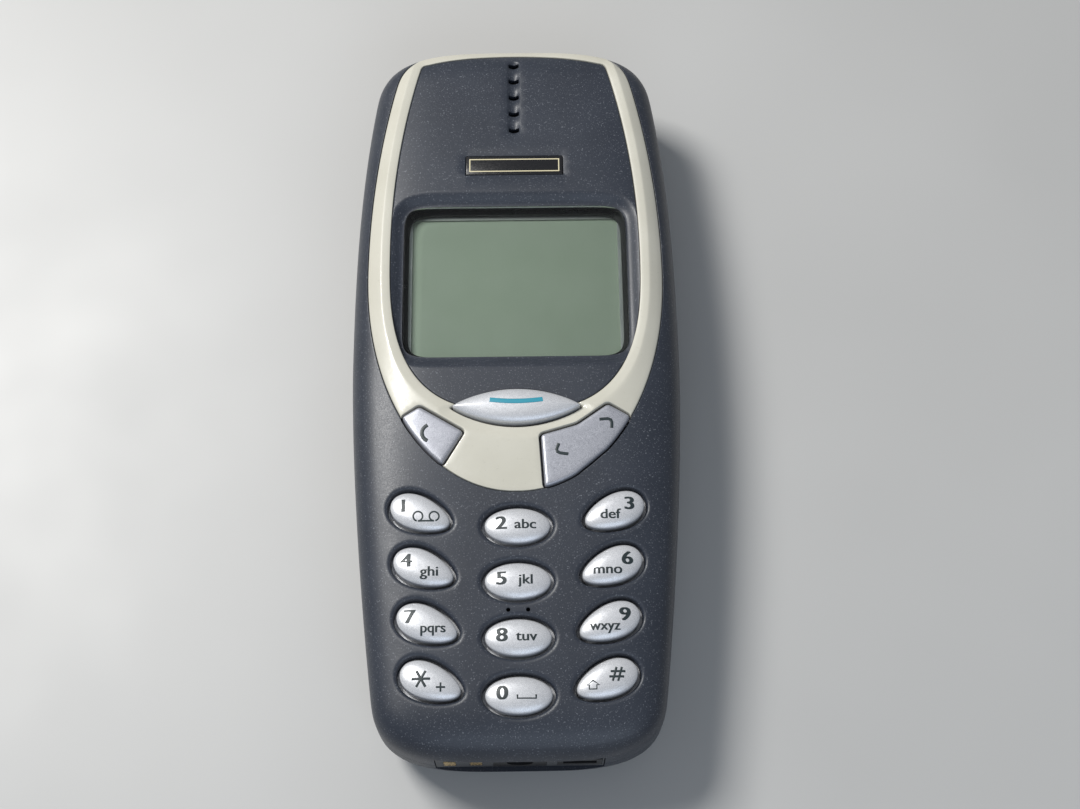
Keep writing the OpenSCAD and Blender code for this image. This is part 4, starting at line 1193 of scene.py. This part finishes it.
def back_cover():
    """Shell of the back, with a shallow dish round the release button."""
    outline = OUTLINE
    inner = body_outline(BACK_WALL)
    hole = circle(0, RELEASE_Y, 2.6, 64)
    thumb = circle(0, RELEASE_Y, 4.4, 72)

    def top(xy):
        x, y = xy.T
        within = signed(inner, xy) < 0
        return np.where(within, back_z(x, y, BACK_WALL), SEAM_Z - 0.05)

    def bottom(xy):
        x, y = xy.T
        around = signed(hole, xy, 6)
        dish = 0.35 * np.interp(around, (0, 0.6, 1.3, 2.0), (1, 0.8, 0.2, 0))
        lip = np.interp(around, (0, 0.1, 0.25), (0.15, 0.03, 0))
        return np.clip(back_z(x, y), 0, SEAM_Z - 0.05) + dish + lip

    loops = [grown(outline, -d) for d in (*STEEP, 4.2, 5.6, 7.2)]
    loops += [grown(inner, -d) for d in (0, 0.02, 0.2, 0.8, 2.0)]
    loops += [hole, thumb] + [grown(hole, d) for d in (0.1, 0.25, 0.6, 1.0, 1.3)]

    def inside(xy):
        return (signed(outline, xy) < 0) & (signed(hole, xy, 1) > 0)

    return slab("back_cover_shell", loops, inside, top, bottom, 1.3)


def release_button():
    """Round button with a dished face and two raised rings, over its flange and stem."""
    low = RELEASE_LOW[2]
    levels = []
    # Radius, and how deep the face is there
    profile = [
        (0.2, 0.16), (1.0, 0.1), (1.25, 0.02), (1.4, 0.0), (1.55, 0.03), (1.75, 0.03), (1.9, 0.0),
        (2.15, 0.02), (2.32, 0.1), (RELEASE_R, 0.25),
    ]
    for r, rise in profile:
        levels.append(level(circle(0, RELEASE_Y, r, 64), low + rise))
    flange_low, flange_high, flange_r, stem_r = 3.1, 3.7, RELEASE_R + 0.5, 1.2
    sides = [
        (RELEASE_R, flange_low), (flange_r, flange_low), (flange_r, flange_high),
        (stem_r, flange_high), (stem_r, RELEASE_HIGH[2]),
    ]
    for r, z in sides:
        levels.append(level(circle(0, RELEASE_Y, r, 64), z))
    return tidy(stack("release_button_cap", levels))


def release_spring():
    """Coil spring over the release button, as a coil of fixed length."""
    low, high = span("release_spring")
    wire, turns, steps = 0.12, 3, 96
    coil = (high[0] - low[0]) / 2 - wire
    around = np.arange(10) * 2 * math.pi / 10
    loops = []
    for k in range(steps + 1):
        turn = 2 * math.pi * turns * k / steps
        out = coil + wire * np.cos(around)
        z = low[2] + wire + (high[2] - low[2] - 2 * wire) * k / steps + wire * np.sin(around)
        loops.append(np.column_stack([out * math.cos(turn), RELEASE_Y + out * math.sin(turn), z]))
    return tidy(stack("release_spring_coil", loops))


def power_button():
    """Rounded bar over a flange and a plunger to the switch."""
    low, high = span("power_button")
    wall_y = HEAD_Y - WALL - FIT * 4
    cap_low = (-BUTTON_HALF, wall_y - 0.4, low[2] + 0.5)
    cap = soft_box(cap_low, (BUTTON_HALF, high[1], high[2]), 0.35, 4)
    flange = soft_box((low[0], wall_y - 0.6, low[2]), (high[0], wall_y, high[2]), 0.1, 2)
    plunger = soft_box((-1.2, low[1], high[2] - 1.4), (1.2, wall_y - 0.5, high[2] - 0.2), 0.1, 2)
    return joined("power_button_cap", [cap, flange, plunger])


# ---- The whole phone ----

PORT_HALF, PORT_DEEP = 11.6, 3.4
PORT_LOW, PORT_TOP = 7.9, span("charging_jack")[1][2] + 0.5
BUTTON_LOW, BUTTON_HIGH = span("power_button")
BUTTON_HALF = 4.8
# How far a cutting box reaches out past an end of the phone
PAST_END = 2


def open_ends(shell):
    """Cuts the openings for the ports and for the power button."""
    cut(shell, (-PORT_HALF, FOOT_Y - PAST_END, PORT_LOW), (PORT_HALF, FOOT_Y + PORT_DEEP, PORT_TOP))
    half = BUTTON_HALF + FIT
    low = (-half, HEAD_Y - 5, BUTTON_LOW[2] + 4 * FIT)
    cut(shell, low, (half, HEAD_Y + PAST_END, BUTTON_HIGH[2] + FIT))
    return shell


def build_phone():
    for row in frame["record"]["subparts"]:
        carried = bpy.data.objects[row["node"]]
        carried.data.materials.clear()
        carried.data.materials.append(SLOT_MATERIALS[row["material_slot"]])
    finish_piece(open_ends(front_cover()), NAVY, "front_cover", "navy_plastic", "front_cover")
    finish_piece(bezel_ring(), CREAM, "front_cover", "cream_plastic", "bezel_ring")
    finish_piece(
        display_window(), SLOT_MATERIALS["clear_window"], "front_cover", "clear_window", "display_window"
    )
    finish_piece(badge(), BADGE_DARK, "front_cover", "badge_black", "badge_plate")
    finish_piece(badge_outline(), BADGE_CREAM, "front_cover")
    for key in NUMBER_KEYS:
        finish_piece(number_key(key), SILVER, key.name, "key_paint", key.name)
        finish_piece(number_legend(key), INK, key.name)
    finish_piece(navi_key(), SILVER, "navi_key", "key_paint", "navi_key")
    finish_piece(navi_bar(), TEAL, "navi_key")
    clear = bowl_key_piece("clear_key_cap", "clear_key", CLEAR, [CLEAR_STEM])
    finish_piece(clear, LILAC, "clear_key", "key_paint", "clear_key")
    finish_piece(clear_mark(), INK, "clear_key")
    reach = SCROLL_REACH * np.array([math.cos(SCROLL_TURN), math.sin(SCROLL_TURN)])
    stems = [SCROLL_PIVOT + reach, SCROLL_PIVOT - reach]
    scroll = bowl_key_piece("scroll_key_cap", "scroll_key", SCROLL, stems)
    finish_piece(scroll, LILAC, "scroll_key", "key_paint", "scroll_key")
    finish_piece(scroll_marks(), INK, "scroll_key")
    finish_piece(open_ends(back_cover()), NAVY, "back_cover", "navy_plastic", "back_cover")
    finish_piece(
        release_button(), SLOT_MATERIALS["black_plastic"], "release_button", "black_plastic", "release_button"
    )
    spring = release_spring()
    finish_piece(spring, SLOT_MATERIALS["tinned_steel"], "chassis", "tinned_steel", "release_spring")
    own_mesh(spring)
    finish_piece(power_button(), NAVY, "power_button", "navy_plastic", "power_button")


# ---- Floor, lights and camera ----


FLOOR_HALF = 1500


def aimed(obj, place, target):
    obj.location = place
    obj.rotation_euler = (Vector(target) - Vector(place)).to_track_quat("-Z", "Y").to_euler()


def area_light(name, place, target, size, watts, color):
    data = bpy.data.lights.new(name, "AREA")
    data.size = size
    data.energy = watts
    data.color = color
    obj = bpy.data.objects.new(name, data)
    bpy.context.scene.collection.objects.link(obj)
    aimed(obj, place, target)


def studio():
    corners = level(box_plan((-FLOOR_HALF, -FLOOR_HALF), (FLOOR_HALF, FLOOR_HALF)), 0)
    floor = new_object("floor", corners, [(0, 1, 2, 3)])
    r = Recipe("floor")
    r.color(r.blend(r.ramp(r.noise(60, 2), 0.3, 0.7, 0, 1), (0.46, 0.46, 0.455), (0.49, 0.49, 0.485)))
    r.rough(r.ramp(r.noise(25, 2), 0.3, 0.7, 0.42, 0.5))
    floor.data.materials.append(r.material)
    area_light("key_light", (-0.26, 0.17, 0.42), (0, 0, 0), 0.16, 2.9, (1.0, 0.985, 0.955))
    area_light("fill_light", (0.1, -0.5, 0.35), (0, -0.02, 0), 0.45, 1.0, (0.72, 0.84, 1.0))
    world = bpy.data.worlds.new("studio")
    world.use_nodes = True
    world.node_tree.nodes["Background"].inputs["Color"].default_value = (0.86, 0.9, 0.95, 1)
    world.node_tree.nodes["Background"].inputs["Strength"].default_value = 0.26
    bpy.context.scene.world = world
    bpy.context.scene.view_settings.view_transform = "Standard"


# Looked at from the bottom end, tilted from straight above
CAMERA_TARGET = Vector((3.44, -2.8, 11.2))
CAMERA_BACK = Vector((-0.0074, -0.3745, 0.9272))
CAMERA_UP = Vector((0.0114, 0.9271, 0.3746))
CAMERA_FAR = 250
CAMERA_LENS = 56.26


def camera():
    data = bpy.data.cameras.new("camera")
    data.lens = CAMERA_LENS
    data.sensor_width = 36
    data.clip_start = 0.01
    obj = bpy.data.objects.new("camera", data)
    bpy.context.scene.collection.objects.link(obj)
    back = CAMERA_BACK.normalized()
    right = CAMERA_UP.cross(back).normalized()
    up = back.cross(right)
    turn = Matrix((right, up, back)).transposed().to_4x4()
    obj.matrix_world = Matrix.Translation((CAMERA_TARGET + back * CAMERA_FAR) * MM) @ turn
    bpy.context.scene.camera = obj


build_phone()
studio()
camera()
